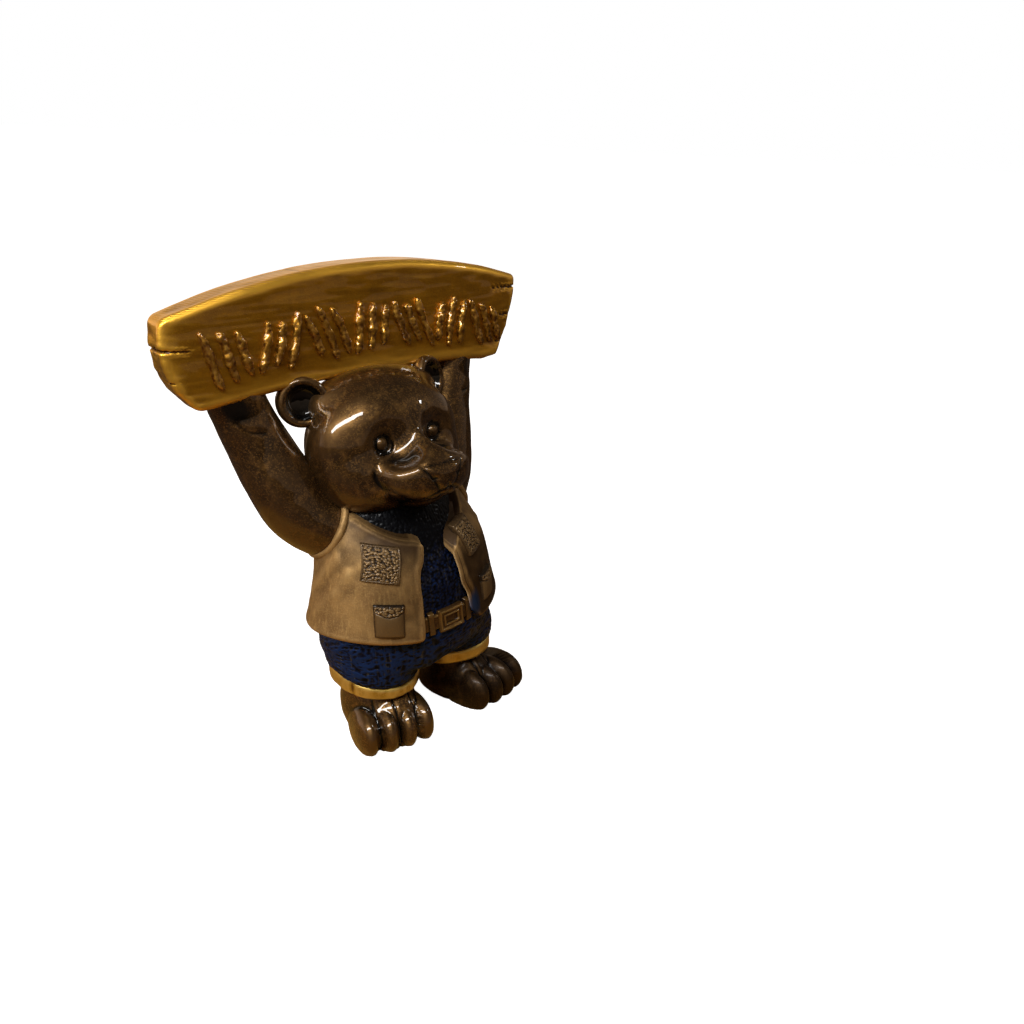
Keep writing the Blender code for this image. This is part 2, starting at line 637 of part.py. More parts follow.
def main():
    for thing in list(bpy.data.objects):
        bpy.data.objects.remove(thing, do_unlink=True)
    forms = [board(), head(), loft(TRUNK), vest()] + marks() + ears() + arms() + belt()
    for each_foot in FEET:
        forms += foot(*each_foot)
    for side, away, cuff in zip(SIDES, LEG_X, CUFFS):
        forms += leg(side * away, cuff)
    forms += [pocket(*numbers) for numbers in POCKETS]
    body = mesh_object("bear_statue", forms)
    body.data.materials.append(principled("bronze and gold paint", (0.10, 0.045, 0.018), 0.3, 0.6))

    fuse = body.modifiers.new("fuse", "REMESH")
    fuse.mode = "VOXEL"
    fuse.voxel_size = VOXEL * MM
    soften = body.modifiers.new("soften", "SMOOTH")
    soften.factor = 0.5
    soften.iterations = 2

    hollows = []
    for side in SIDES:
        hollows.append(ball((side * PALM[0], PALM[1], PALM[2]), PALM_RADII, rows=12, columns=20))
    add_boolean(body, cutter("palm hollows", hollows), "DIFFERENCE")
    add_boolean(body, cutter("end cracks", end_cracks()), "DIFFERENCE")

    thin = body.modifiers.new("thin", "DECIMATE")
    thin.ratio = KEPT_SHARE
    half = GROUND_BLOCK / 2
    floor = [[(-half, -half, z), (half, -half, z), (half, half, z), (-half, half, z)]
             for z in (-GROUND_DEPTH, 0.0)]
    ground = cutter("ground", [shell(floor)])
    add_boolean(body, ground, "DIFFERENCE")


main()
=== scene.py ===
# %% [markdown]
# # A painted bear that holds up a sign board
#
# The real thing is a small printed figure: fur in bronze paint, a gold board, a tan vest and
# navy knitwear, all flooded with thick clear gloss. The plain model of it is loaded first. It is
# a fixed frame: each surface below is drawn in its place, a little finer than the plain one.

# %% Load the fixed frame
import itertools
import math

import bpy
import numpy as np
from mathutils import Matrix


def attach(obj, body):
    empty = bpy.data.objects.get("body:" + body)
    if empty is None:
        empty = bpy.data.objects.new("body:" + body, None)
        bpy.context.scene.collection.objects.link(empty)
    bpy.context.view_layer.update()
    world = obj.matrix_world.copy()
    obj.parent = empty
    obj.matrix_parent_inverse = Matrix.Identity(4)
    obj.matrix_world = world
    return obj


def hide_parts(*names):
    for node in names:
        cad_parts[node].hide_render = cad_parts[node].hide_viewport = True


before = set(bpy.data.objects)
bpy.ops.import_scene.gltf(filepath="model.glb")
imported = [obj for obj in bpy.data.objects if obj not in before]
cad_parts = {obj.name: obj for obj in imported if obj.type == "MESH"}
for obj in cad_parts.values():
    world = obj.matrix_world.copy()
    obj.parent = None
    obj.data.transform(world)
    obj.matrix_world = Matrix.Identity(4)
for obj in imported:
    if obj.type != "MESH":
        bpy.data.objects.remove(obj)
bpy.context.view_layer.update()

# %% [markdown]
# ## Sizes
#
# The shapes are worked out in millimetres round the bear's own middle, because such numbers are
# easy to check with a ruler. One shift and one scale then bring every finished surface into the
# frame, so nothing is placed by eye.

# %% Millimetres and the way into the frame
MM = 0.001
MIDDLE_TO_FRAME = np.array((-5.99, 3.85, 0.0))
SIDES = (-1.0, 1.0)          # the bear's right hand is at -X, its left at +X


def on_side(point, side):
    """A point or a direction that is written for the bear's left, moved to the side asked for."""
    return np.array(point) * (side, 1, 1)


print("the bear's own middle stands at", MIDDLE_TO_FRAME * MM, "m in the frame")

# %% [markdown]
# ## From grid to closed surface
#
# Each form is a grid of points with two directions, like the lines of a globe. A grid that wraps
# is joined to itself, and an open end is drawn to one point, so every form is closed. The signed
# volume tells which way the faces look, and they are turned outwards with it. Arrays go straight
# into the mesh, which is far quicker than adding vertices one by one.

# %% A closed skin from a grid
def skin(grid, relief=None, wrap=(False, True)):
    """Points, quads, triangles and relief of a closed form. Each quad joins four neighbours of
    the grid; where rows don't wrap, a fan of triangles joins an end row to its mean point."""
    rows, columns = grid.shape[:2]
    relief = np.zeros((rows, columns)) if relief is None else relief
    index = np.arange(rows * columns).reshape(rows, columns)
    lines = np.hstack([index, index[:, :1]])
    lines = np.vstack([lines, lines[:1]]) if wrap[0] else lines
    quads = np.stack([lines[:-1, :-1], lines[:-1, 1:], lines[1:, 1:], lines[1:, :-1]], -1)
    quads, points, values = quads.reshape(-1, 4), grid.reshape(-1, 3), relief.reshape(-1)
    fans = np.empty((0, 3), int)
    if not wrap[0]:
        tips = [np.full(columns, rows * columns + end) for end in (0, 1)]
        points = np.vstack([points, grid[0].mean(0), grid[-1].mean(0)])
        values = np.concatenate([values, [relief[0].mean(), relief[-1].mean()]])
        fans = np.vstack([np.stack([tips[0], np.roll(index[0], -1), index[0]], -1),
                          np.stack([tips[1], index[-1], np.roll(index[-1], -1)], -1)])
    a, b, c, d = (points[quads[:, k]] for k in range(4))
    volume = np.sum(a * np.cross(b, c)) + np.sum(a * np.cross(c, d))
    a, b, c = (points[fans[:, k]] for k in range(3))
    volume += np.sum(a * np.cross(b, c))
    if volume < 0:
        quads, fans = quads[:, ::-1], fans[:, ::-1]
    return points, quads, fans, values


turn = np.linspace(0, 2 * math.pi, 12, endpoint=False)
drum = np.stack(np.broadcast_arrays(np.cos(turn), np.sin(turn), np.arange(3.0)[:, None]), -1)
print("a drum of 3 rings closes with", len(skin(drum)[1]), "quads and", len(skin(drum)[2]), "triangles")

# %% Normals and relief
def normals_of(grid, wrap=(False, True)):
    """Unit normals: the cross product of the two central differences, facing away from the middle."""
    steps = [np.roll(grid, -1, k) - np.roll(grid, 1, k) if wrap[k] else np.gradient(grid, axis=k)
             for k in (0, 1)]
    normal = np.cross(steps[1], steps[0])
    normal /= np.maximum(np.linalg.norm(normal, axis=-1, keepdims=True), 1e-9)
    away = np.sum(normal * (grid - grid.reshape(-1, 3).mean(0)))
    return normal if away > 0 else -normal


def raised(grid, height, wrap=(False, True)):
    """The grid moved along its own normals by a height at each point."""
    return grid + normals_of(grid, wrap) * height[..., None]


def shape_relief(grid, reach, depth, wrap=(False, True)):
    """How far a point stands above (+1) or below (-1) the mean of the four points that lie
    'reach' steps away, divided by depth: creases come out dark and ridges bright."""
    rows, columns = grid.shape[:2]
    i, j = np.arange(rows), np.arange(columns)
    i = [(i + s) % rows if wrap[0] else np.clip(i + s, 0, rows - 1) for s in (-reach, reach)]
    j = [(j + s) % columns if wrap[1] else np.clip(j + s, 0, columns - 1) for s in (-reach, reach)]
    mean = (grid[i[0]] + grid[i[1]] + grid[:, j[0]] + grid[:, j[1]]) / 4
    return np.clip(np.sum((grid - mean) * normals_of(grid, wrap), -1) / depth, -1, 1)


swollen = raised(drum, np.full(drum.shape[:2], 0.5))
print(f"raised by 0.5, a drum {np.ptp(drum[..., 0]):.1f} across is {np.ptp(swollen[..., 0]):.1f} across")

# %% One finished piece
def piece(name, skins, material):
    """One finished piece from its skins: moved into the frame, with its relief as an attribute."""
    points = np.vstack([s[0] for s in skins])
    starts = np.cumsum([0] + [len(s[0]) for s in skins[:-1]])
    quads = np.vstack([s[1] + start for s, start in zip(skins, starts)])
    fans = np.vstack([s[2] + start for s, start in zip(skins, starts)])
    corners = np.concatenate([quads.ravel(), fans.ravel()])
    firsts = np.concatenate([np.arange(len(quads)) * 4, len(quads) * 4 + np.arange(len(fans)) * 3])
    mesh = bpy.data.meshes.new(name)
    mesh.vertices.add(len(points))
    mesh.vertices.foreach_set("co", ((points + MIDDLE_TO_FRAME) * MM).ravel())
    mesh.loops.add(len(corners))
    mesh.loops.foreach_set("vertex_index", corners)
    mesh.polygons.add(len(firsts))
    mesh.polygons.foreach_set("loop_start", firsts)
    mesh.update(calc_edges=True)
    mesh.shade_smooth()
    relief = mesh.attributes.new("relief", "FLOAT", "POINT")
    relief.data.foreach_set("value", np.concatenate([s[3] for s in skins]).astype(np.float32))
    mesh.materials.append(material)
    made = bpy.data.objects.new(name, mesh)
    bpy.context.scene.collection.objects.link(made)
    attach(made, "root")
    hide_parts("bear_statue")
    low, high = points.min(0), points.max(0)
    print(f"{name}: {2 * len(quads) + len(fans)} triangles, z {low[2]:.1f} to {high[2]:.1f} mm")

# %% [markdown]
# ## Steady unevenness
#
# Hand-painted prints are never quite even. The unevenness has to come out the same every time, so
# it isn't random: the fraction of a large sine stands in for chance. `billow` eases between such
# numbers at the corners of cubes and gives soft swells. `pebbles` gives the distance to jittered
# points, which is what beads and knots are made from.

# %% Noise without chance
def chance(cell, seed):
    """A steady number from 0 to 1 for each whole cell: the fraction of a large sine."""
    return np.modf(np.abs(np.sin(cell @ np.array((127.1, 311.7, 74.7)) + 53.3 * seed)) * 43758.5453)[0]


def billow(points, size, seed):
    """Smooth swells from -1 to 1: steady numbers at cube corners, eased between them. size is
    one length for all directions, or one for each."""
    scaled = points / np.asarray(size, float)
    base = np.floor(scaled)
    t = scaled - base
    t = t * t * (3 - 2 * t)
    total = np.zeros(points.shape[:-1])
    for corner in itertools.product((0.0, 1.0), repeat=3):
        corner = np.array(corner)
        total += np.prod(corner * t + (1 - corner) * (1 - t), -1) * chance(base + corner, seed)
    return 2 * total - 1


def pebbles(u, v, seed, jitter=0.8):
    """Distance from each place to the nearest point, where each unit cell holds one point that is
    moved off the cell's middle by up to half the jitter."""
    near = np.full(u.shape, 9.0)
    for du, dv in itertools.product((-1, 0, 1), repeat=2):
        cell = np.stack([np.floor(u) + du, np.floor(v) + dv, np.zeros_like(u)], -1)
        pu = cell[..., 0] + 0.5 + jitter * (chance(cell, seed) - 0.5)
        pv = cell[..., 1] + 0.5 + jitter * (chance(cell, seed + 1) - 0.5)
        near = np.minimum(near, np.hypot(pu - u, pv - v))
    return near


sample = billow(np.linspace(0, 90, 999)[:, None] * np.array((1.0, 0.7, 0.4)), 3.0, 1)
print(f"swells reach from {sample.min():.2f} to {sample.max():.2f}")

# %% Steps and curves
def ease(low, high, value):
    """0 below low, 1 above high, and a smooth step between."""
    t = np.clip((value - low) / (high - low), 0, 1)
    return t * t * (3 - 2 * t)


def smooth_path(points, steps):
    """Catmull-Rom curve through the points, with the given steps between neighbours."""
    points = np.asarray(points, float)
    padded = np.vstack([2 * points[0] - points[1], points, 2 * points[-1] - points[-2]])
    a, b, c, d = (padded[k:len(padded) - 3 + k, None] for k in range(4))
    t = np.linspace(0, 1, steps, endpoint=False)[None, :, None]
    curve = 0.5 * (2 * b + (c - a) * t + (2 * a - 5 * b + 4 * c - d) * t ** 2
                   + (3 * b - a - 3 * c + d) * t ** 3)
    return np.vstack([curve.reshape(-1, points.shape[1]), points[-1:]])



print("a quarter and half of the way up a step:", ease(0, 4, 1.0), "and", ease(0, 4, 2.0))

# %% [markdown]
# ## Paint under clear gloss
#
# Every finish here is the same sandwich: a metallic paint with tiny flakes, a dark wash with
# painted shade in the hollows, a lighter paint with painted highlight over the ridges, and thick
# clear varnish. So the flakes, the brush marks and the wash with its painted shade are node groups
# that are built once, and each material places them with its own colours. The varnish is the coat
# of the Principled shader.

# %% Node helpers
def add(tree, kind, values=None, **settings):
    """A node with its settings; a value that is another node's socket is linked."""
    made = tree.nodes.new("ShaderNode" + kind)
    for name, value in settings.items():
        setattr(made, name, value)
    for name, value in (values or {}).items():
        if isinstance(value, bpy.types.NodeSocket):
            tree.links.new(value, made.inputs[name])
        else:
            made.inputs[name].default_value = value
    return made


def new_group(name, inputs, outputs):
    """An empty shader group with named sockets: (name, kind, default) each."""
    tree = bpy.data.node_groups.new(name, "ShaderNodeTree")
    for label, kind, default in inputs:
        socket = tree.interface.new_socket(label, in_out="INPUT", socket_type=kind)
        socket.default_value = default
    for label, kind in outputs:
        tree.interface.new_socket(label, in_out="OUTPUT", socket_type=kind)
    return tree, tree.nodes.new("NodeGroupInput").outputs, tree.nodes.new("NodeGroupOutput").inputs


def mix(tree, share, a, b):
    """Colour a turned to colour b by the share."""
    made = tree.nodes.new("ShaderNodeMix")
    made.data_type = "RGBA"
    for index, value in ((0, share), (6, a), (7, b)):
        if isinstance(value, bpy.types.NodeSocket):
            tree.links.new(value, made.inputs[index])
        else:
            made.inputs[index].default_value = value
    return made.outputs[2]


def spread(tree, value, low, high, new_low=0.0, new_high=1.0):
    """A smooth step of a value between two limits, brought between two new ones."""
    made = add(tree, "MapRange", {"Value": value, "From Min": low, "From Max": high,
                                  "To Min": new_low, "To Max": new_high}, interpolation_type="SMOOTHSTEP")
    return made.outputs["Result"]

# %% Metal flakes
FLOAT, COLOUR = "NodeSocketFloat", "NodeSocketColor"

flakes, given, result = new_group("metal flakes", [("Flakes per metre", FLOAT, 2200.0)],
                                  [("Flake", FLOAT), ("Tilt", FLOAT)])
place = add(flakes, "TexCoord").outputs["Object"]
cell = add(flakes, "TexVoronoi", {"Vector": place, "Scale": given["Flakes per metre"]})
tint = add(flakes, "SeparateColor", {"Color": cell.outputs["Color"]}).outputs
flakes.links.new(spread(flakes, tint["Red"], 0.55, 1.0), result["Flake"])
flakes.links.new(tint["Green"], result["Tilt"])
print(flakes.name, "with", len(flakes.nodes), "nodes")

# %% Brush marks
brushed, given, result = new_group("brush marks", [("Across", FLOAT, 900.0), ("Along", FLOAT, 60.0)],
                                   [("Streak", FLOAT), ("Patch", FLOAT)])
place = add(brushed, "TexCoord").outputs["Object"]
scale = add(brushed, "CombineXYZ", {"X": given["Across"], "Y": given["Across"], "Z": given["Along"]})
stretched = add(brushed, "VectorMath", {0: place, 1: scale.outputs[0]}, operation="MULTIPLY")
lines = add(brushed, "TexNoise", {"Vector": stretched.outputs[0], "Scale": 1.0, "Detail": 3.0})
cloud = add(brushed, "TexNoise", {"Vector": place, "Scale": 95.0, "Detail": 4.0, "Roughness": 0.6})
brushed.links.new(lines.outputs["Fac"], result["Streak"])
brushed.links.new(cloud.outputs["Fac"], result["Patch"])
print(brushed.name, "with", len(brushed.nodes), "nodes")

# %% Wash, dry brush, painted shade and highlight
wash_and_shade_group, given, result = new_group(
    "wash and dry brush with painted shade",
    [("Paint", COLOUR, (0.5, 0.5, 0.5, 1)), ("Wash", COLOUR, (0, 0, 0, 1)), ("Ridge", COLOUR, (1, 1, 1, 1)),
     ("Wash depth", FLOAT, 0.5), ("Ridge height", FLOAT, 0.5)],
    [("Colour", COLOUR), ("In hollow", FLOAT)])
# the relief darkens the hollows and lightens the ridges: a dark wash with painted shade, and lighter paint
# with painted highlight
stand = add(wash_and_shade_group, "Attribute", attribute_name="relief").outputs["Fac"]
down = add(wash_and_shade_group, "Math", {0: stand, 1: -1.0}, operation="MULTIPLY").outputs[0]
hollow = add(wash_and_shade_group, "MapRange", {"Value": down, "From Min": -0.1, "From Max": given["Wash depth"]},
             interpolation_type="SMOOTHSTEP").outputs["Result"]
ridge = add(wash_and_shade_group, "MapRange", {"Value": stand, "From Min": 0.05, "From Max": given["Ridge height"]},
            interpolation_type="SMOOTHSTEP").outputs["Result"]
lit = mix(wash_and_shade_group, ridge, given["Paint"], given["Ridge"])
wash_and_shade_group.links.new(mix(wash_and_shade_group, hollow, lit, given["Wash"]), result["Colour"])
wash_and_shade_group.links.new(hollow, result["In hollow"])
print(wash_and_shade_group.name, "with", len(wash_and_shade_group.nodes), "nodes")

# %% One recipe for all the paints
COAT_IOR = 1.5
GRAIN_HEIGHT = 0.05           # mm that flakes and brush marks stand up
RIDGE_HEIGHT = 0.7            # the relief at which the dry-brushed paint covers fully


def paint(name, deep, body, bright, wash_and_shade, ridge, metallic, roughness, flake_share=0.3, across=900.0,
          along=60.0, wash_and_shade_depth=0.6, gloss=0.03, coat=1.0, shine=0.5):
    """Body colour varied towards deep and bright by the brush marks and flakes, then washed and
    dry-brushed, which also paints shade into the hollows and highlight onto the ridges, with the
    clear coat's strength and gloss on top."""
    material = bpy.data.materials.new(name)
    material.use_nodes = True
    tree = material.node_tree
    shader = tree.nodes["Principled BSDF"]
    fleck = add(tree, "Group", node_tree=flakes).outputs
    marks_of_brush = add(tree, "Group", {"Across": across, "Along": along}, node_tree=brushed).outputs
    streak, patch = marks_of_brush["Streak"], marks_of_brush["Patch"]
    colour = mix(tree, spread(tree, patch, 0.35, 0.7), (*deep, 1), (*body, 1))
    colour = mix(tree, spread(tree, streak, 0.5, 0.8, 0.0, 0.55), colour, (*bright, 1))
    share = add(tree, "Math", {0: fleck["Flake"], 1: flake_share}, operation="MULTIPLY").outputs[0]
    colour = mix(tree, share, colour, (*bright, 1))
    last = add(tree, "Group", {"Paint": colour, "Wash": (*wash_and_shade, 1), "Ridge": (*ridge, 1),
                               "Wash depth": wash_and_shade_depth, "Ridge height": RIDGE_HEIGHT}, node_tree=wash_and_shade_group)
    tree.links.new(last.outputs["Colour"], shader.inputs["Base Color"])
    rough = add(tree, "MapRange", {"Value": patch, "From Min": 0.3, "From Max": 0.7,
                                   "To Min": roughness + 0.08, "To Max": roughness - 0.06})
    tree.links.new(rough.outputs["Result"], shader.inputs["Roughness"])
    height = add(tree, "Math", {0: fleck["Tilt"], 1: 0.35, 2: streak}, operation="MULTIPLY_ADD").outputs[0]
    bump = add(tree, "Bump", {"Height": height, "Strength": 1.0, "Distance": GRAIN_HEIGHT * MM})
    tree.links.new(bump.outputs[0], shader.inputs["Normal"])
    for label, value in (("Metallic", metallic), ("Coat Weight", coat), ("Specular IOR Level", shine),
                         ("Coat Roughness", gloss), ("Coat IOR", COAT_IOR)):
        shader.inputs[label].default_value = value
    return material


print("flakes and brush marks stand up by", GRAIN_HEIGHT, "mm")

# %% The colours of the fur and the board
fur_paint = paint(
    "bronze fur paint", deep=(0.044, 0.022, 0.007), body=(0.080, 0.040, 0.012),
    bright=(0.40, 0.21, 0.058), wash_and_shade=(0.003, 0.002, 0.001), ridge=(0.12, 0.063, 0.020),
    metallic=0.9, roughness=0.42, flake_share=0.45, across=260, along=200)
# a darker copy of the fur paint for the left foot: painted shade
shaded_fur_paint = paint(
    "bronze fur paint with painted shade", deep=(0.018, 0.009, 0.004), body=(0.030, 0.016, 0.006),
    bright=(0.15, 0.08, 0.026), wash_and_shade=(0.002, 0.001, 0.001), ridge=(0.042, 0.023, 0.009),
    metallic=0.9, roughness=0.5, flake_share=0.2, across=260, along=200, gloss=0.2, coat=0.18)
board_paint = paint(
    "gold board paint", deep=(0.36, 0.160, 0.008), body=(0.54, 0.250, 0.012),
    bright=(0.74, 0.40, 0.035), wash_and_shade=(0.09, 0.032, 0.002), ridge=(0.97, 0.53, 0.055),
    metallic=0.9, roughness=0.42, flake_share=0.15, across=60, along=420, coat=0.7)
mark_paint = paint(
    "dark gold mark paint", deep=(0.32, 0.14, 0.010), body=(0.44, 0.205, 0.014),
    bright=(0.76, 0.43, 0.08), wash_and_shade=(0.12, 0.036, 0.002), ridge=(0.62, 0.34, 0.05),
    metallic=0.85, roughness=0.36, wash_and_shade_depth=0.9)
print("paints", [material.name for material in bpy.data.materials])

# %% The colours of the clothes
vest_paint = paint(
    "tan vest paint", deep=(0.26, 0.150, 0.055), body=(0.44, 0.262, 0.095),
    bright=(0.62, 0.39, 0.14), wash_and_shade=(0.045, 0.022, 0.006), ridge=(0.54, 0.35, 0.14),
    metallic=0.5, roughness=0.55, gloss=0.3, coat=0.06, shine=0.25)
pocket_paint = paint(
    "dull bronze pocket paint", deep=(0.050, 0.028, 0.011), body=(0.095, 0.054, 0.020),
    bright=(0.22, 0.135, 0.052), wash_and_shade=(0.014, 0.007, 0.002), ridge=(0.21, 0.125, 0.045),
    metallic=0.6, roughness=0.5, wash_and_shade_depth=0.9, gloss=0.2, coat=0.25)
knit_paint = paint(
    "navy knit paint", deep=(0.0010, 0.0032, 0.014), body=(0.0026, 0.0090, 0.042),
    bright=(0.12, 0.11, 0.08), wash_and_shade=(0.0003, 0.0005, 0.0014), ridge=(0.008, 0.026, 0.10),
    metallic=0.5, roughness=0.5, flake_share=0.12, wash_and_shade_depth=0.8, gloss=0.15, coat=0.10, shine=0.15)
cuff_paint = paint(
    "bright gold cuff paint", deep=(0.44, 0.26, 0.026), body=(0.64, 0.41, 0.055),
    bright=(0.90, 0.63, 0.18), wash_and_shade=(0.14, 0.06, 0.007), ridge=(0.80, 0.56, 0.15),
    metallic=0.85, roughness=0.40)
belt_paint = paint(
    "brown gold belt paint", deep=(0.095, 0.043, 0.009), body=(0.15, 0.075, 0.016),
    bright=(0.32, 0.18, 0.045), wash_and_shade=(0.020, 0.008, 0.002), ridge=(0.24, 0.135, 0.034),
    metallic=0.8, roughness=0.42, gloss=0.08, coat=0.7)
print("paints", [material.name for material in bpy.data.materials])

# %% [markdown]
# ## The sign board
#
# It is a thick plank, arched on top, a little bowed, with split ends. One rounded rectangle is
# carried from end to end; the arch and the lower edge stretch it at each place. This is better
# than cutting a block, because the grain, the splits and the painted highlight along the edges can
# follow the same grid.

# %% Board lines
BOARD_TOP, BOARD_TOP_X, BOARD_TOP_DROP = 197.9, 12.0, 0.0017
BOARD_FOOT, BOARD_FOOT_DROP = 152.8, 0.0008
BOARD_THICK, BOARD_HEIGHT = 16.0, 45.0
FRONT_ROUND, BACK_ROUND, END_ROUND = 3.2, 2.4, 2.6
BOARD_SKEW = 2.7             # the back face is this much shorter at the right end
# the face: its depth and lean at a middle point, and how it falls away past a straight part
FACE_AT, FACE_Y, FACE_LEAN, FACE_STRAIGHT, FACE_FALL = (4.0, 170.0), 11.0, 0.08, 50.0, 3.6 / 38.0 ** 2
# how far out each end reaches at a height: (z, x)
RIGHT_END = ((147.0, -72.2), (149.0, -73.7), (156.8, -79.8), (164.5, -82.6), (174.0, -83.4), (183.0, -82.0),
             (187.0, -81.3))
LEFT_END = ((147.0, 68.0), (149.3, 69.2), (150.6, 76.2), (155.7, 79.8), (163.0, 85.9), (172.0, 90.4),
            (179.0, 93.8), (186.0, 95.5), (190.0, 96.0))
# splits in the wood: from (x, z) at the end to (x, z) at the tip, width, depth
SPLITS = (((98.0, 180.5), (76.0, 181.5), 1.3, 1.8), ((96.0, 168.0), (74.0, 169.0), 1.2, 1.6),
          ((88.0, 155.5), (73.5, 157.5), 1.5, 2.0), ((-90.0, 172.5), (-72.0, 171.2), 1.5, 2.2),
          ((-88.0, 160.0), (-78.0, 160.5), 1.1, 1.4), ((-66.0, 200.0), (-66.6, 186.0), 0.7, 0.5),
          ((-24.0, 200.0), (-23.2, 193.0), 0.8, 0.5))


def arch(x):
    """Height of the board's top edge: a parabola that falls off to both sides."""
    return BOARD_TOP - BOARD_TOP_DROP * (x - BOARD_TOP_X) ** 2


def foot_line(x):
    """Height of the board's lower edge: a flatter parabola."""
    return BOARD_FOOT - BOARD_FOOT_DROP * x ** 2


def face_y(x, z):
    """Depth of the board's face: it leans back with height and falls away towards both ends."""
    past = np.maximum(np.abs(x - FACE_AT[0]) - FACE_STRAIGHT, 0)
    return FACE_Y + FACE_LEAN * (z - FACE_AT[1]) + FACE_FALL * past ** 2


print(f"the board is {arch(0.0) - foot_line(0.0):.1f} mm high in the middle")

# %% The board's section and its splits
def rounded_section(height, thick, front, back, count):
    """Points round a rectangle with quarter-circle corners, evenly spaced: (depth, height)."""
    a = np.linspace(0, math.pi / 2, 12)
    corners = [(front, height - front, front, math.pi - a),
               (thick - back, height - back, back, math.pi / 2 - a),
               (thick - back, back, back, -a),
               (front, front, front, -math.pi / 2 - a)]
    line = np.vstack([np.stack([x + r * np.cos(t), z + r * np.sin(t)], -1) for x, z, r, t in corners])
    line = np.vstack([line, line[:1]])
    length = np.concatenate([[0], np.cumsum(np.linalg.norm(np.diff(line, axis=0), axis=1))])
    even = np.linspace(0, length[-1], count, endpoint=False)
    return np.stack([np.interp(even, length, line[:, k]) for k in (0, 1)], -1)


def groove(x, z, start, end, width, depth):
    """Depth of a pointed split: it narrows and fades from start to tip, and wanders a little."""
    start, end = np.array(start), np.array(end)
    away = np.stack([x, z], -1) - start
    t = np.clip(away @ (end - start) / np.sum((end - start) ** 2), 0, 1)
    wander = 0.5 * np.sin(0.9 * x + start[1]) + 0.3 * np.sin(2.3 * x + 1.7)
    side = np.linalg.norm(away - t[..., None] * (end - start), axis=-1) + 0.25 * wander
    half = width * (1 - 0.8 * t) / 2
    return depth * (1 - 0.7 * t) * (t < 1) * np.clip(1.2 - np.abs(side) / half, 0, 1)


print(len(SPLITS), "splits, the deepest", max(numbers[-1] for numbers in SPLITS), "mm")

# %% Build the board
def board_surface(stations=270, around=176, rounding=8, cap=14):
    """A rounded rectangle carried along X. Each ring has a share of the way, how far it stands
    out past the straight part, and how much of the section is left: quarter circles round the
    ends and the flat ends shrink to their middle."""
    section = rounded_section(BOARD_HEIGHT, BOARD_THICK, FRONT_ROUND, BACK_ROUND, around)
    depth, height = section[None, :, 0], section[None, :, 1] / BOARD_HEIGHT
    turn = np.linspace(0, math.pi / 2, rounding)[1:]
    out = np.concatenate([np.full(cap, END_ROUND), END_ROUND * np.sin(turn[::-1])])
    inset = END_ROUND * (1 - np.cos(np.concatenate([np.full(cap, math.pi / 2), turn[::-1]])))
    left = np.concatenate([np.linspace(0.05, 0.96, cap), np.ones(rounding - 1)])
    share = np.concatenate([np.zeros(len(out)), np.linspace(0, 1, stations), np.ones(len(out))])[:, None]
    out, inset, left = (np.concatenate([v, np.full(stations, fill), v[::-1]])[:, None]
                        for v, fill in ((out, 0.0), (inset, 0.0), (left, 1.0)))
    depth = BOARD_THICK / 2 + (depth - BOARD_THICK / 2) * (1 - inset / (BOARD_THICK / 2)) * left
    height = 0.5 + (height - 0.5) * (1 - inset / (BOARD_HEIGHT / 2)) * left
    z = FACE_AT[1] + 0 * height
    for _ in range(4):           # the ends depend on the height and the height on the place: settle both
        low = np.interp(z, *np.array(RIGHT_END).T) + END_ROUND
        high = np.interp(z, *np.array(LEFT_END).T) - END_ROUND
        x = low + share * (high - low) + np.where(share < 0.5, -out, out)
        z = foot_line(x) + height * (arch(x) - foot_line(x))
    back = depth / BOARD_THICK
    x = x + BOARD_SKEW * back * ease(-50.0, -78.0, x)
    y = (1 - back) * face_y(x, z) + back * face_y(FACE_AT[0], z) + depth
    grid = np.stack([x, y, z], -1)
    swell = 0.22 * billow(grid, (26, 9, 8), 3) + 0.10 * billow(grid, (9, 5, 3.5), 5)
    swell += 0.05 * billow(grid, (14, 3, 1.2), 8)
    at_end = np.minimum(share * 60, (1 - share) * 60)
    swell += 0.16 * np.exp(-np.abs(at_end) / 2.0) * billow(grid, (6, 6, 2.4), 11)
    split = np.maximum.reduce([groove(x, z, *numbers) for numbers in SPLITS])
    return raised(grid, swell - split - 0.15), split


def board_relief(grid, split):
    """Ridges and hollows of the form, and splits darkened with painted shade, with painted reflection
    along the lower edge (stronger towards +X), over the top edge and round both ends."""
    x, z = grid[..., 0], grid[..., 2]
    # painted reflection: lighter colour along the lower edge, the top edge and both ends; the splits get
    # painted shade below
    lower = 0.5 * ease(11.0, 3.0, z - foot_line(x)) * (0.6 + 0.4 * ease(-70, 50, x))
    top = 0.35 * ease(-1.6, -0.6, z - arch(x))
    ends = 0.35 * ease(80, 86, np.abs(x - 6.0) + 0.5 * (x < 0))
    painted_reflection = (lower + top + ends) * (split < 0.1)
    return np.clip(shape_relief(grid, 3, 0.3) + painted_reflection - 0.7 * ease(0.2, 1.2, split), -1, 1)


board_grid, split = board_surface()
piece("sign_board", [skin(board_grid, board_relief(board_grid, split))], board_paint)

# %% [markdown]
# ## Layer lines
#
# A print is built up in level layers. Their steps are far too fine for the mesh, so they are a
# wave along Z that is added to the bump of the board's paint. On a steep face the layers hide in
# the paint; they show only where the surface is nearly level, so the wave is scaled by how far
# the surface faces up.

# %% Layer lines on the board
LAYER_WAVE, LAYER_HEIGHT = 0.45, 1.6          # mm from line to line, height beside the brush marks
LAYERS_SHOW = (0.6, 0.9)                      # upward part of the normal where they begin and are full

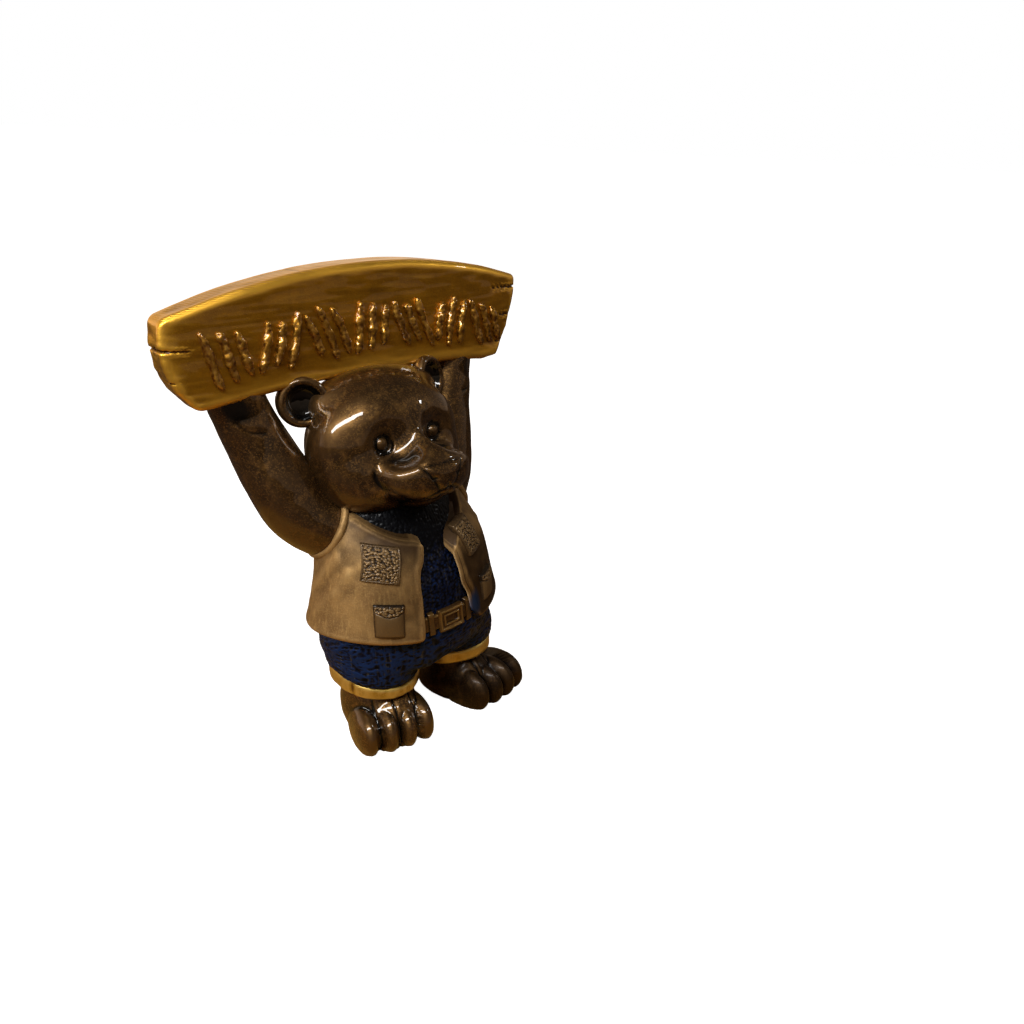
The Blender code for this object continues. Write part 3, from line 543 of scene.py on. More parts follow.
tree = board_paint.node_tree
bump = next(node for node in tree.nodes if node.bl_idname == "ShaderNodeBump")
brush_height = bump.inputs["Height"].links[0].from_socket
level = add(tree, "SeparateXYZ", {0: add(tree, "TexCoord").outputs["Object"]}).outputs["Z"]
wave = add(tree, "Math", {0: level, 1: 2 * math.pi / (LAYER_WAVE * MM)}, operation="MULTIPLY").outputs[0]
wave = add(tree, "Math", {0: wave}, operation="SINE").outputs[0]
facing = add(tree, "SeparateXYZ", {0: add(tree, "NewGeometry").outputs["Normal"]}).outputs["Z"]
shown = spread(tree, facing, *LAYERS_SHOW, 0.0, LAYER_HEIGHT)
wave = add(tree, "Math", {0: wave, 1: shown}, operation="MULTIPLY").outputs[0]
both = add(tree, "Math", {0: brush_height, 1: wave}, operation="ADD").outputs[0]
tree.links.new(both, bump.inputs["Height"])
print("layer lines every", LAYER_WAVE, "mm")

# %% [markdown]
# ## The raised strokes
#
# The strokes on the board look like bark-covered twigs laid on it. They are all one shape with
# different numbers, so one array holds all of them: stroke, step along, step round. A tube that
# thins to a point at both ends is roughened by two sizes of swell.

# %% Build the strokes
MARK_GROUPS, MARK_STROKES, MARK_RADIUS = 7, 3, 1.9
MARK_START_X, MARK_GROUP_STEP, MARK_STEP = -60.0, 21.5, 6.4
MARK_Z, MARK_DROP = 172.0, 0.0012              # middle height, and its drop per squared mm from X = 0
MARK_HALF, MARK_SHORTER, MARK_LEAN = 11.0, 0.14, 0.26


def stroke_surfaces(rows=50, columns=24):
    """Tubes along slanting lines on the board's face: half length, slant and bow vary by number."""
    number = np.arange(MARK_GROUPS * MARK_STROKES)
    group, stroke = number // MARK_STROKES, number % MARK_STROKES
    x0 = MARK_START_X + MARK_GROUP_STEP * group + MARK_STEP * (stroke - 1)
    z0 = MARK_Z - MARK_DROP * x0 ** 2
    half = (MARK_HALF - MARK_RADIUS) * (1 - MARK_SHORTER * ((stroke + group) % 3)) + MARK_RADIUS
    lean = np.where(group % 2, MARK_LEAN, -MARK_LEAN)
    u = np.sin(np.linspace(-math.pi / 2, math.pi / 2, rows + 2)[1:-1])[None, :]
    turn = np.linspace(0, 2 * math.pi, columns, endpoint=False)[None, None, :]
    z = z0[:, None] + u * half[:, None]
    x = x0[:, None] + u * (half * lean)[:, None] + 0.5 * np.sin(2.2 * u + group[:, None])
    size = MARK_RADIUS * (1 - np.abs(u) ** 5) ** 0.5 * (1 + 0.12 * np.sin(7 * u + 2.1 * number[:, None]))
    grid = np.stack([x[..., None] + size[..., None] * np.cos(turn),
                     (face_y(x, z) - 0.3)[..., None] + size[..., None] * np.sin(turn),
                     z[..., None] + 0 * turn], -1)
    bark = 0.4 * np.abs(billow(grid, 1.8, 2)) ** 0.7
    bark += 0.25 * billow(grid, 0.9, 4) * ease(0, 1, size)[..., None]
    return [raised(g, b - 0.25) for g, b in zip(grid, bark)], bark


strokes, bark = stroke_surfaces()
reliefs = [np.clip(2.2 * (b - 0.24), -0.8, 1) for b in bark]
piece("sign_strokes", [skin(g, r) for g, r in zip(strokes, reliefs)], mark_paint)

# %% [markdown]
# ## The head
#
# A head with cheeks, a snout and eye hollows is hard to draw as one patch, but easy to say as a
# distance: soft-edged balls added and taken away. Rays go out from the middle of the head, and
# the place where the distance changes sign is found on every ray at once by halving. The rays'
# pole points forward, so that the face gets the finest part of the grid.

# %% Distances and rays
def lobe(points, middle, radii, power):
    """Distance to a superellipsoid, measured along the ray from its own middle."""
    away = points - np.asarray(middle)
    level = (np.abs(away / np.asarray(radii)) ** power).sum(-1) ** (1 / power)
    return np.linalg.norm(away, axis=-1) * (1 - 1 / np.maximum(level, 1e-6))


def joined(a, b, soft):
    """The nearer of two distances, with a fillet of about the given size."""
    share = np.clip(0.5 + 0.5 * (b - a) / max(soft, 1e-6), 0, 1)
    return b + (a - b) * share - soft * share * (1 - share)


def rays_forward(rows, columns, gather):
    """Directions over a sphere whose pole is -Y; gather above 1 packs more rows near it."""
    fall = math.pi * (np.arange(1, rows + 1) / (rows + 1))[:, None]
    fall = fall * (1 / gather + (1 - 1 / gather) * (fall / math.pi) ** 1.5)
    around = np.linspace(0, 2 * math.pi, columns, endpoint=False)[None, :]
    return np.stack([np.sin(fall) * np.cos(around), -np.cos(fall) * np.ones_like(around),
                     np.sin(fall) * np.sin(around)], -1)


def shrink_wrapped(distance, middle, rays, reach):
    """The form's surface: on each ray the interval from 3 mm to reach is halved 18 times, and
    the half where the distance changes sign is kept."""
    near, far = np.full(rays.shape[:2], 3.0), np.full(rays.shape[:2], float(reach))
    for _ in range(18):
        half = (near + far) / 2
        outside = distance(np.asarray(middle) + rays * half[..., None]) > 0
        near, far = np.where(outside, near, half), np.where(outside, half, far)
    return np.asarray(middle) + rays * near[..., None]


beside = lobe(np.array((0.0, 0.0, 12.0)), (0, 0, 0), (10, 10, 10), 2)
print(f"a ball of 10 mm radius is {beside:.1f} mm away from a point at 12 mm")

# %% Head lines
HEAD_MIDDLE, HEAD_YAW, HEAD_REACH = (0.0, 0.0, 122.0), 1.5, 60.0
# added lobes: middle, radii, power, softness of the join
HEAD_LOBES = (((0.0, 2.5, 125.5), (35.2, 20.8, 27.4), 2.2, 0.0),       # skull
              ((0.0, -1.0, 114.0), (32.6, 19.0, 17.5), 2.5, 5.0),      # cheeks
              ((3.0, 9.8, 144.3), (31.0, 12.0, 11.2), 2.1, 8.0),       # crown
              ((0.5, -18.6, 116.8), (20.6, 16.8, 12.0), 2.4, 3.5),     # snout
              ((0.6, -13.0, 124.2), (14.5, 13.0, 8.0), 2.0, 8.0),      # bridge
              ((1.0, -13.0, 106.5), (12.0, 13.0, 6.5), 2.2, 1.2))      # jaw
# the nose's three sides: a point (x, z) on each and the direction it faces
NOSE_X = -0.4
NOSE_SIDES = (((NOSE_X, 122.2), (0.0, 1.0)), ((NOSE_X - 6.6, 118.2), (-0.84, -0.54)),
              ((NOSE_X + 6.6, 118.2), (0.84, -0.54)))
NOSTRIL_OUT, NOSTRIL_Z = 5.6, 117.8
EYE, EYE_RADIUS = (13.7, -11.6, 129.4), 2.9
# taken away on both sides: middle, radii, power, softness
EYE_HOLLOWS = (((13.6, -22.6, 131.4), (9.6, 9.4, 9.0), 2.0, 5.5),
               ((13.7, -13.9, 129.4), (4.9, 2.4, 4.9), 2.0, 0.8))
# the mouth line on one side and the crease that carries it on round the snout: (x from MOUTH_X, z)
MOUTH_X = 0.5
MOUTH = ((0.0, 112.6), (3.9, 111.2), (6.8, 109.6), (8.4, 107.6), (11.0, 106.8), (15.0, 108.8),
         (20.4, 113.8), (22.2, 118.0), (21.4, 121.4), (18.8, 124.0))
print("the head is made of", len(HEAD_LOBES), "soft-edged balls")

# %% The head as a distance
def head_distance(points):
    """Skull, cheeks, snout, jaw and nose joined, eye hollows cut, and eyeballs set in."""
    found = np.full(points.shape[:-1], 1e3)
    for middle, radii, power, soft in HEAD_LOBES:
        found = joined(found, lobe(points, middle, radii, power), soft)
    mirrored = np.stack([np.abs(points[..., 0]), points[..., 1], points[..., 2]], -1)
    for middle, radii, power, soft in EYE_HOLLOWS:
        found = -joined(-found, lobe(mirrored, middle, radii, power), soft)
    eyeball = np.linalg.norm(mirrored - np.asarray(EYE), axis=-1) - EYE_RADIUS
    return joined(found, eyeball, 0.25)


ahead = head_distance(np.array((0.0, -50.0, 117.0)))
print(f"a point 50 mm in front of the head's middle is {ahead:.1f} mm away from the snout")

# %% Nose and lines on a surface
def line_distance(points, line):
    """Distance from each 2-D point to the nearest segment of a line."""
    line = np.asarray(line, float)
    best = np.full(points.shape[:-1], 1e3)
    for a, b in zip(line[:-1], line[1:]):
        t = np.clip((points - a) @ (b - a) / np.sum((b - a) ** 2), 0, 1)
        best = np.minimum(best, np.linalg.norm(points - a - t[..., None] * (b - a), axis=-1))
    return best


def nose_height(x, z):
    """A flat three-cornered pad: how far a point lies past the nearest of the three sides (a soft
    maximum, which rounds the corners) gives the pad's edge, the groove round it and its bulge."""
    past = [1.6 * ((x - a) * nx + (z - b) * nz) for (a, b), (nx, nz) in NOSE_SIDES]
    edge = np.log(sum(np.exp(np.clip(each, -30, 30)) for each in past)) / 1.6
    pad = 0.6 * ease(0.6, -1.4, edge) + 0.5 * ease(-0.5, -4.0, edge)
    off_pits = [(x - NOSE_X - side * NOSTRIL_OUT) ** 2 + 1.6 * (z - NOSTRIL_Z) ** 2 for side in SIDES]
    pits = sum(0.7 * np.exp(-off / 1.6) for off in off_pits)
    return pad - 0.25 * np.exp(-((edge - 0.8) / 0.7) ** 2) - pits


print(f"the nose stands up by {nose_height(NOSE_X, 119.5):.1f} mm")

# %% Build the head
def head_surface(rows=250, columns=250):
    """The wrapped head with its nose and mouth drawn in, and paint swells that are stronger on
    the snout. The head is turned a little about the upright axis at the end."""
    grid = shrink_wrapped(head_distance, HEAD_MIDDLE, rays_forward(rows, columns, 1.7), HEAD_REACH)
    x, y, z = (grid[..., k] for k in range(3))
    flat = np.stack([np.abs(x - MOUTH_X), z], -1)
    mouth = line_distance(flat, smooth_path(MOUTH, 4)) + 10 * ease(-10, -4, y)
    cleft = line_distance(np.stack([x, z], -1), ((NOSE_X, 114.5), (MOUTH_X, 112.6)))
    cleft = cleft + 10 * ease(-24, -18, y)
    deep = 0.12 + 0.25 * ease(123, 118, z) + 0.5 * ease(17, 9, np.abs(x - MOUTH_X))
    cut = deep * np.exp(-(mouth / 0.8) ** 2) + 0.45 * np.exp(-(cleft / 0.7) ** 2)
    nose = nose_height(x, z) * ease(-22, -27, y)
    swell = 0.10 * billow(grid, 6.0, 1) + 0.035 * billow(grid, 2.2, 2)
    swell += 0.12 * billow(grid, 3.2, 5) * ease(-10, -16, y)
    grid = raised(grid, swell - cut + nose)
    cos, sin = math.cos(math.radians(HEAD_YAW)), math.sin(math.radians(HEAD_YAW))
    x, y = grid[..., 0] * cos - grid[..., 1] * sin, grid[..., 0] * sin + grid[..., 1] * cos
    return np.stack([x, y, grid[..., 2]], -1), cut + np.clip(-nose, 0, 1)


head_grid, cut = head_surface()
# the mouth line, the cleft and the grooves and pits of the nose are darkened further: painted shade
relief = np.clip(shape_relief(head_grid, 4, 0.35) - 0.8 * cut, -1, 1)
piece("bear_head", [skin(head_grid, relief)], fur_paint)

# %% [markdown]
# ## Ears and arms
#
# An ear is a cup: its half section is turned about the ear's own axis. An arm is a tube along a
# bent line. The line hardly leaves an upright plane, so rings that are spanned square to the
# line and to Y never twist. Under the sign each palm has a dent, pressed in by an amount that
# fades with the distance from its middle.

# %% Turned forms and tubes
def unit(vector):
    """The vector divided by its own length."""
    vector = np.asarray(vector, float)
    return vector / np.linalg.norm(vector, axis=-1, keepdims=True)


def turned(centre, axis, profile, steps):
    """A (radius, height) half section turned round the axis."""
    axis = unit(axis)
    side = unit(np.cross(axis, (0.0, 0.0, 1.0)))
    turn = np.linspace(0, 2 * math.pi, steps, endpoint=False)[:, None]
    around = np.cos(turn) * side + np.sin(turn) * np.cross(side, axis)
    radius, height = np.asarray(profile).T[:, :, None, None]
    return np.asarray(centre) + radius * around + height * axis


def tube(path, columns):
    """Rings along (x, y, z, radius) points: each ring is spanned by the direction square to the
    path and to Y, and by the one square to both."""
    centre, radius = path[:, :3], path[:, 3]
    along = unit(np.gradient(centre, axis=0))
    side = np.cross(along, (0.0, 1.0, 0.0))
    side = unit(np.where(np.linalg.norm(side, axis=1, keepdims=True) > 0.05, side, (1.0, 0.0, 0.0)))
    up = np.cross(along, side)
    turn = np.linspace(0, 2 * math.pi, columns, endpoint=False)[None, :, None]
    ring = np.cos(turn) * side[:, None] + np.sin(turn) * up[:, None]
    return centre[:, None] + radius[:, None, None] * ring


print("the direction of (3, 4, 0) is", unit((3, 4, 0)))

# %% Build the ears
EAR, EAR_AXIS = (31.8, 10.0, 146.1), (0.34, -0.93, 0.12)
EAR_PROFILE = ((0.4, -1.6), (3.0, -1.3), (5.2, -0.4), (6.5, 1.4), (7.4, 2.7), (8.6, 3.0), (9.8, 2.1),
               (10.3, 0.2), (9.8, -2.0), (7.6, -4.0), (4.0, -5.2))


def ear_surface(side):
    """The cup's half section, smoothed and turned; slow swells make it look hand-painted."""
    grid = turned(on_side(EAR, side), on_side(EAR_AXIS, side), smooth_path(EAR_PROFILE, 8), 110)
    grid = raised(grid, 0.12 * billow(grid, 4.0, 6 + side))
    inside = ease(30, 22, np.arange(len(grid)))[:, None]
    # the inside of the cup is darkened: painted shade
    return grid, np.clip(shape_relief(grid, 6, 0.5) - 1.2 * inside, -1, 1)


piece("bear_ears", [skin(*ear_surface(side)) for side in SIDES], fur_paint)

# %% Build the arms
ARM = ((14.0, 1.0, 87.0, 14.5), (27.5, 5.0, 93.0, 13.6), (37.6, 10.5, 102.8, 13.8),
       (43.4, 15.0, 117.5, 13.2), (47.6, 18.3, 131.0, 11.9), (52.0, 19.5, 143.0, 10.9),
       (54.5, 19.5, 150.0, 10.6), (55.0, 19.5, 156.0, 9.0))
PALM, PALM_RADII, PALM_DENT = (60.0, 11.0, 148.0), (9.0, 6.5, 7.6), 2.6
CREASE = ((50.5, 137.5), (56.0, 138.2), (62.0, 143.0))


def arm_surface(side, columns=142):
    """A bent tube with a dented palm, a crease below it, and long shallow muscle swells."""
    path = smooth_path(ARM, 18) * (side, 1, 1, 1)
    grid = tube(path, columns)
    away = (grid - on_side(PALM, side)) / np.array(PALM_RADII)
    dent = PALM_DENT * np.exp(-np.sum(away ** 2, -1) * 1.3)
    front = ease(14, 8, grid[..., 1])
    flat = np.stack([grid[..., 0] * side, grid[..., 2]], -1)
    crease = 0.28 * np.exp(-(line_distance(flat, CREASE) / 0.9) ** 2) * front
    swell = 0.35 * billow(grid, (9, 9, 26), 3 + side) + 0.08 * billow(grid, 4.0, 9)
    grid = raised(grid, swell - dent - crease)
    # the palm's dent and the crease below it are darkened: painted shade
    return grid, np.clip(shape_relief(grid, 4, 0.4) - 0.385 * dent - 0.35 * crease, -1, 1)


piece("bear_arms", [skin(*arm_surface(side)) for side in SIDES], fur_paint)

# %% [markdown]
# ## Shirt
#
# The trunk is a stack of ellipses, eased between a few measured levels. The knit is a field of
# small half balls, one to a cell and each moved off its cell's middle, a little shaken so that it
# looks made by hand. Only the front shows between the edges of the vest, so most columns are
# gathered there. Under the chin the colour is darkened to nearly black: painted shade.

# %% Stacked ellipses
TRUNK = smooth_path(((29.0, -6.0, 34.0, 22.0), (36.0, -6.0, 39.0, 26.4), (46.0, -6.0, 40.6, 28.0),
                     (54.0, -5.5, 38.5, 27.6), (70.0, -5.5, 37.0, 26.8), (85.0, -3.5, 34.0, 23.5),
                     (97.0, -0.5, 30.0, 20.0), (108.0, 2.0, 25.0, 16.5), (116.0, 3.0, 20.0, 14.0)), 12)


def on_stack(levels, angle, z, out=0.0):
    """A point of stacked ellipses: angle 0 faces -Y and grows to +X; out is along the radius."""
    middle, half_width, half_depth = (np.interp(z, levels[:, 0], levels[:, k]) for k in (1, 2, 3))
    x = (half_width + out) * np.sin(angle)
    y = middle - (half_depth + out) * np.cos(angle)
    return np.stack(np.broadcast_arrays(x, y, z), -1)


print(f"the trunk is {2 * TRUNK[:, 2].max():.1f} mm wide at its widest")

# %% Build the shirt
def shirt_surface(rows=160, columns=290):
    """The trunk above the belt, covered with small knots: half balls on jittered points."""
    t = np.linspace(-1, 1, columns, endpoint=False)[None, :]
    angle = math.pi * (0.45 * t + 0.55 * t ** 3)
    z = np.linspace(50.0, 112.0, rows)[:, None]
    grid = on_stack(TRUNK, angle, z)
    shake = 0.25 * billow(grid, 2.5, 21)
    near = pebbles(angle * 33.0 / 1.35 + shake, (z + 0 * angle) / 1.25 + shake, 22)
    bump = np.clip(1 - (near / 0.62) ** 2, 0, 1) ** 0.7 * (0.85 + 0.3 * billow(grid, 1.6, 23))
    # painted shade: the relief is lowered towards the chin, which makes that part nearly black
    chin_painted_shade = ease(78, 92, z)
    return raised(grid, 0.30 * bump - 0.2), np.clip(1.6 * bump - 0.9 - 1.2 * chin_painted_shade, -1, 0.7)


piece("knitted_shirt", [skin(*shirt_surface())], knit_paint)

# %% [markdown]
# ## Trousers
#
# Both legs and the seat have to run into one another without a seam. Each half is found along
# level rays from its own leg's axis: the leg's ellipse and the seat's ellipse are joined softly,
# and the ray stops at the middle plane, where the two halves meet. The curly knit is a warped
# swell folded at zero, so that it makes short wandering ridges.

# %% Trouser lines
LEG_X, LEG_Y = (20.5, 22.0), -7.5
LEG = smooth_path(((10.0, -9.5, 13.8, 14.8), (16.0, -9.0, 15.0, 15.2), (21.0, -8.0, 16.2, 16.2),
                   (26.5, -7.5, 17.4, 17.4), (30.0, -7.5, 19.5, 19.2), (38.0, -7.0, 19.0, 20.0),
                   (46.0, -6.0, 15.0, 16.5), (56.0, -6.0, 12.0, 14.0)), 12)
SEAT = smooth_path(((22.0, -7.0, 2.0, 2.0), (28.5, -7.0, 12.0, 7.0), (31.5, -6.5, 30.0, 19.0),
                    (36.0, -6.0, 38.6, 26.2), (46.0, -6.0, 41.0, 28.4), (54.0, -5.5, 38.0, 27.0),
                    (58.0, -5.5, 36.0, 26.0)), 12)
# right and left cuff: middle height at the leg's side, its rise to the back, half height there and
# its growth to the back, each per mm of depth
CUFFS = ((30.6, 0.38, 3.9, 0.085), (24.9, 0.0, 3.0, 0.0))
CUFF_LEVEL_FROM = 2.0         # a cuff stops rising this far behind the leg's axis
CUFF_PLAIN_Z = 24.9           # middle height of a cuff that doesn't lift its trouser leg
print(f"the seat is {2 * SEAT[:, 2].max():.1f} mm wide at its widest")

# %% Build the trousers
def ellipse_reach(levels, z, from_x, from_y, cos, sin, middle_x):
    """Length of a level ray until it leaves the ellipse at height z: the larger root of the
    quadratic, or zero where the ray starts outside."""
    middle, a, b = (np.interp(z, levels[:, 0], levels[:, k]) for k in (1, 2, 3))
    dx, dy = from_x - middle_x, from_y - middle
    p = (cos / a) ** 2 + (sin / b) ** 2
    q = dx * cos / a ** 2 + dy * sin / b ** 2
    r = (dx / a) ** 2 + (dy / b) ** 2 - 1
    return np.where(r < 0, (-q + np.sqrt(np.maximum(q * q - p * r, 0))) / p, 0.0)


def trouser_half(side, leg_x, cuff, rows=112, columns=280):
    """One half: the soft larger of leg and seat along level rays, stopped at the middle plane.
    Its lower edge is lifted with the slant of the cuff."""
    z = np.linspace(23.0, 54.0, rows)[:, None]
    turn = np.linspace(0, 2 * math.pi, columns, endpoint=False)[None, :]
    cos, sin = np.cos(turn) * side, np.sin(turn)
    leg = ellipse_reach(LEG, z, 0.0, LEG_Y, cos, sin, 0.0)
    seat = ellipse_reach(SEAT, z, side * leg_x, LEG_Y, cos, sin, 0.0)
    reach = -joined(-leg, -seat, 3.0)
    stop = np.where(cos * side < -1e-3, (leg_x + 0.05) / np.maximum(-cos * side, 1e-3), 99.0)
    reach = np.minimum(reach, stop)
    grid = np.stack([side * leg_x + reach * cos, LEG_Y + reach * sin, z + 0 * turn], -1)
    warp = np.stack([billow(grid, 3.2, 31), billow(grid, 3.2, 32), billow(grid, 3.2, 33)], -1)
    curl = 1 - np.abs(billow(grid + 0.9 * warp, (2.0, 2.0, 1.1), 34)) ** 0.8 * 1.6
    curl = np.clip(curl + 0.3 * billow(grid, 0.9, 35), -0.6, 1)
    lift = cuff[0] - CUFF_PLAIN_Z + cuff[1] * np.minimum(grid[..., 1] - LEG_Y, CUFF_LEVEL_FROM)
    lift = lift * ease(46, 30, grid[..., 2]) * ease(0, 12, np.abs(grid[..., 0]))
    grid = raised(grid, 0.34 * curl * (reach < stop) - 0.12)
    return grid + lift[..., None] * np.array((0.0, 0.0, 1.0)), np.clip(1.5 * curl - 0.3, -1, 1)


halves = [skin(*trouser_half(*numbers)) for numbers in zip(SIDES, LEG_X, CUFFS)]
piece("knitted_trousers", halves, knit_paint)

# %% [markdown]
# ## Vest
#
# The vest is a thick sheet wrapped round the trunk and open in front. A point of it has a share
# of the way round and a share of the way up. The distance to the nearest edge sets how far the
# outer and the inner wall have closed in on each other, as a quarter circle, so that all edges
# are round. Arcs cut the corners of the two front panels. The left panel, and the right panel
# towards its front edge and its top, are darkened with painted shade, which lowers the relief and
# not the surface.

# %% Vest lines
VEST = smooth_path(((44.0, -5.0, 45.0, 32.8), (52.0, -5.0, 45.4, 33.0), (62.0, -5.5, 43.0, 31.2),
                    (74.0, -5.5, 40.2, 30.0), (85.0, -4.0, 38.0, 28.0), (95.0, -1.0, 34.5, 24.0),
                    (104.0, 1.5, 30.0, 20.0), (112.0, 3.0, 26.0, 17.0)), 12)
VEST_WALL, VEST_HEM, VEST_HEM_RISE, VEST_SHOULDER = 4.2, 46.8, 6.4, 103.0
VEST_EDGE_ROUND = 1.7
VEST_NECK = (90.8, 88.2)      # top of the front corners, right and left
VEST_NECK_TURN = ((0.12, 0.28), (1.05, 1.29))   # the neck line climbs between these turns: (left, right)
VEST_CORNERS = (2.8, 8.0, 4.5)                  # radii: both hem corners, left neck, right neck
VEST_SPREAD = 35.0                              # mm to one radian, for distances along the sheet
# distance of each front edge from the middle: (height, x)
VEST_RIGHT_EDGE = smooth_path(((44.0, 15.3), (48.6, 15.0), (64.6, 14.1), (72.0, 14.1), (79.4, 12.9),
                               (85.2, 10.2), (92.0, 7.6)), 6)
VEST_LEFT_EDGE = smooth_path(((44.0, 16.2), (46.6, 15.0), (51.9, 11.8), (61.6, 10.6), (70.0, 7.6),
                              (79.2, 6.5), (92.0, 4.6)), 6)
ARM_RIM, ARM_RIM_AXIS, ARM_RIM_RADII = (30.0, 4.5, 95.5), (0.86, 0.2, 0.47), (13.6, 1.5)
# folds: (angle, z) at both ends, width, height
FOLDS = (((-1.35, 86.0), (-1.9, 70.0), 3.2, 0.5), ((-1.2, 80.0), (-1.7, 62.0), 3.6, 0.4),
         ((1.3, 84.0), (1.8, 66.0), 3.0, 0.8), ((2.6, 88.0), (2.3, 60.0), 3.6, 0.7),
         ((-2.6, 88.0), (-2.3, 60.0), 3.6, 0.7))
FOLD_SPREAD = 38.0                              # mm to one radian, for the folds
print(f"the vest is {2 * VEST[:, 2].max():.1f} mm wide at its widest")

# %% One wall of the vest
def gathered(count, ends):
    """Shares from 0 to 1 whose steps shrink towards both ends: a line minus a sine."""
    t = np.linspace(0, 1, count)
    return t - ends * np.sin(2 * math.pi * t) / (2 * math.pi)


def vest_wall(share, v, inner):
    """One wall of the wrap. The round edge is the quarter circle in the distance to the edge. Folds
    are ridges whose height falls off as a bell with the distance from a line."""
    right_z, left_z = (VEST_HEM + v * (top - VEST_HEM) for top in VEST_NECK)
    start, end = (np.arcsin(np.interp(z, edge[:, 0], edge[:, 1]) / np.interp(z, VEST[:, 0], VEST[:, 2]))
                  for z, edge in ((left_z, VEST_LEFT_EDGE), (right_z, VEST_RIGHT_EDGE)))
    end = 2 * math.pi - end
    angle = start + share * (end - start)
    off_front = np.minimum(angle, 2 * math.pi - angle)
    on_left = angle < math.pi
    to_side = VEST_SPREAD * np.minimum(angle - start, end - angle)
    rounds = (VEST_CORNERS[0], np.where(on_left, *VEST_CORNERS[1:]))
    corner = [r - np.sqrt(np.maximum(r * r - np.maximum(r - to_side, 0) ** 2, 0)) for r in rounds]
    hem = VEST_HEM + VEST_HEM_RISE * np.sin(np.clip(off_front, 0, math.pi / 2)) ** 2 + corner[0]
    top = np.where(on_left, VEST_NECK[1], VEST_NECK[0])
    low, high = (np.where(on_left, left, right) for left, right in VEST_NECK_TURN)
    neck = top + (VEST_SHOULDER - top) * ease(low, high, off_front) - corner[1]
    z = hem + v * (neck - hem)
    edge = np.minimum(to_side, np.minimum(v, 1 - v) * (neck - hem))
    bulge = np.sqrt(np.maximum(1 - (1 - np.clip(edge / VEST_EDGE_ROUND, 0, 1)) ** 2, 0))
    out = -VEST_WALL / 2 + np.where(inner, -1, 1) * bulge * VEST_WALL / 2
    grid = on_stack(VEST, angle, z, out)
    signed = np.where(angle > math.pi, angle - 2 * math.pi, angle)
    flat = np.stack([signed * FOLD_SPREAD, z], -1)
    fold = 0.0
    for start, end, width, height in FOLDS:
        line = np.array((start, end)) * (FOLD_SPREAD, 1)
        fold = fold + height * np.exp(-(line_distance(flat, line) / width) ** 2)
    rim = 0.14 * np.exp(-((edge - 1.9) / 0.9) ** 2)
    height = fold + rim + 0.35 * billow(grid, (12, 12, 16), 41) + 0.10 * billow(grid, 4.0, 42)
    return grid, np.where(inner, 0, height * ease(0, 2.5, edge)), edge


print("shares of the way up, gathered at hem and neck:", gathered(5, 0.55).round(2))

# %% Both walls as one surface
def vest_surface(rows=120, outer=400, inner=60):
    """Outer wall from one front edge round to the other, then the inner wall back again. The
    relief is the form's own, less painted shade on the left panel, and on the right panel
    towards its front edge and its top; the inner wall gets a dark relief, also painted shade."""
    share = np.concatenate([gathered(outer, 0.55), gathered(inner, 0.3)[::-1]])[None, :]
    walls = np.concatenate([np.zeros(outer, bool), np.ones(inner, bool)])[None, :]
    grid, height, edge = vest_wall(share, gathered(rows, 0.55)[:, None], walls)
    shaped = raised(grid, height)
    relief = shape_relief(shaped, 4, 0.5)
    z = shaped[..., 2]
    # painted shade: the whole left panel, most at its edges and low down, and the right panel towards its
    # front edge and its top
    left = (0.26 + 0.30 * ease(86, 76, z) + 0.7 * ease(1.5, 0.4, edge)) * ease(0.26, 0.16, share)
    right = (0.26 * ease(0.84, 0.97, share) + 0.34 * ease(76, 90, z)) * ease(0.7, 0.8, share)
    # the inner wall is given a dark relief: painted shade
    return shaped, np.where(walls, -0.5, np.clip(relief - left - right, -1, 1))


vest_skin = skin(*vest_surface())
print("the vest's sheet has", len(vest_skin[0]), "points")

# %% Armhole rims
def torus(centre, axis, major, minor, sides=150, steps=18):
    """A ring round the axis: a small circle carried round a large one."""
    axis = unit(axis)
    side = unit(np.cross(axis, (0.0, 0.0, 1.0)))
    a = np.linspace(0, 2 * math.pi, sides, endpoint=False)[:, None, None]
    b = np.linspace(0, 2 * math.pi, steps, endpoint=False)[None, :, None]
    out = np.cos(a) * side + np.sin(a) * np.cross(axis, side)
    return np.asarray(centre) + (major + minor * np.cos(b)) * out + minor * np.sin(b) * axis


def arm_rim(side):
    """The rolled edge of an armhole: a ring with slow swells."""
    grid = torus(on_side(ARM_RIM, side), on_side(ARM_RIM_AXIS, side), *ARM_RIM_RADII)
    return skin(raised(grid, 0.15 * billow(grid, 5.0, 44), (True, True)), wrap=(True, True))


piece("vest", [vest_skin] + [arm_rim(side) for side in SIDES], vest_paint)

# %% [markdown]
# ## A smear of blue
#
# The brush that painted the trousers touched the left panel near its lower inner edge. A mark in
# one place needs no texture: the distance from that place, measured with each axis stretched by
# its own amount, gives a long oval, and a smooth step of it gives the oval a soft edge.

# %% The smear on the vest
SMEAR_AT, SMEAR_STRETCH = (0.0072, -0.0300, 0.0555), (1.0, 0.6, 0.36)
SMEAR_EDGE, SMEAR_BLUE = (0.0034, 0.0018), (0.012, 0.024, 0.060, 1)

tree = vest_paint.node_tree
paint_input = tree.nodes["Principled BSDF"].inputs["Base Color"]
here = add(tree, "TexCoord").outputs["Object"]
off = add(tree, "VectorMath", {0: here, 1: SMEAR_AT}, operation="SUBTRACT").outputs[0]
off = add(tree, "VectorMath", {0: off, 1: SMEAR_STRETCH}, operation="MULTIPLY").outputs[0]
off = add(tree, "VectorMath", {0: off}, operation="LENGTH").outputs["Value"]
tan_paint = paint_input.links[0].from_socket
tree.links.new(mix(tree, spread(tree, off, *SMEAR_EDGE), tan_paint, SMEAR_BLUE), paint_input)
print("a smear of blue at", SMEAR_AT)

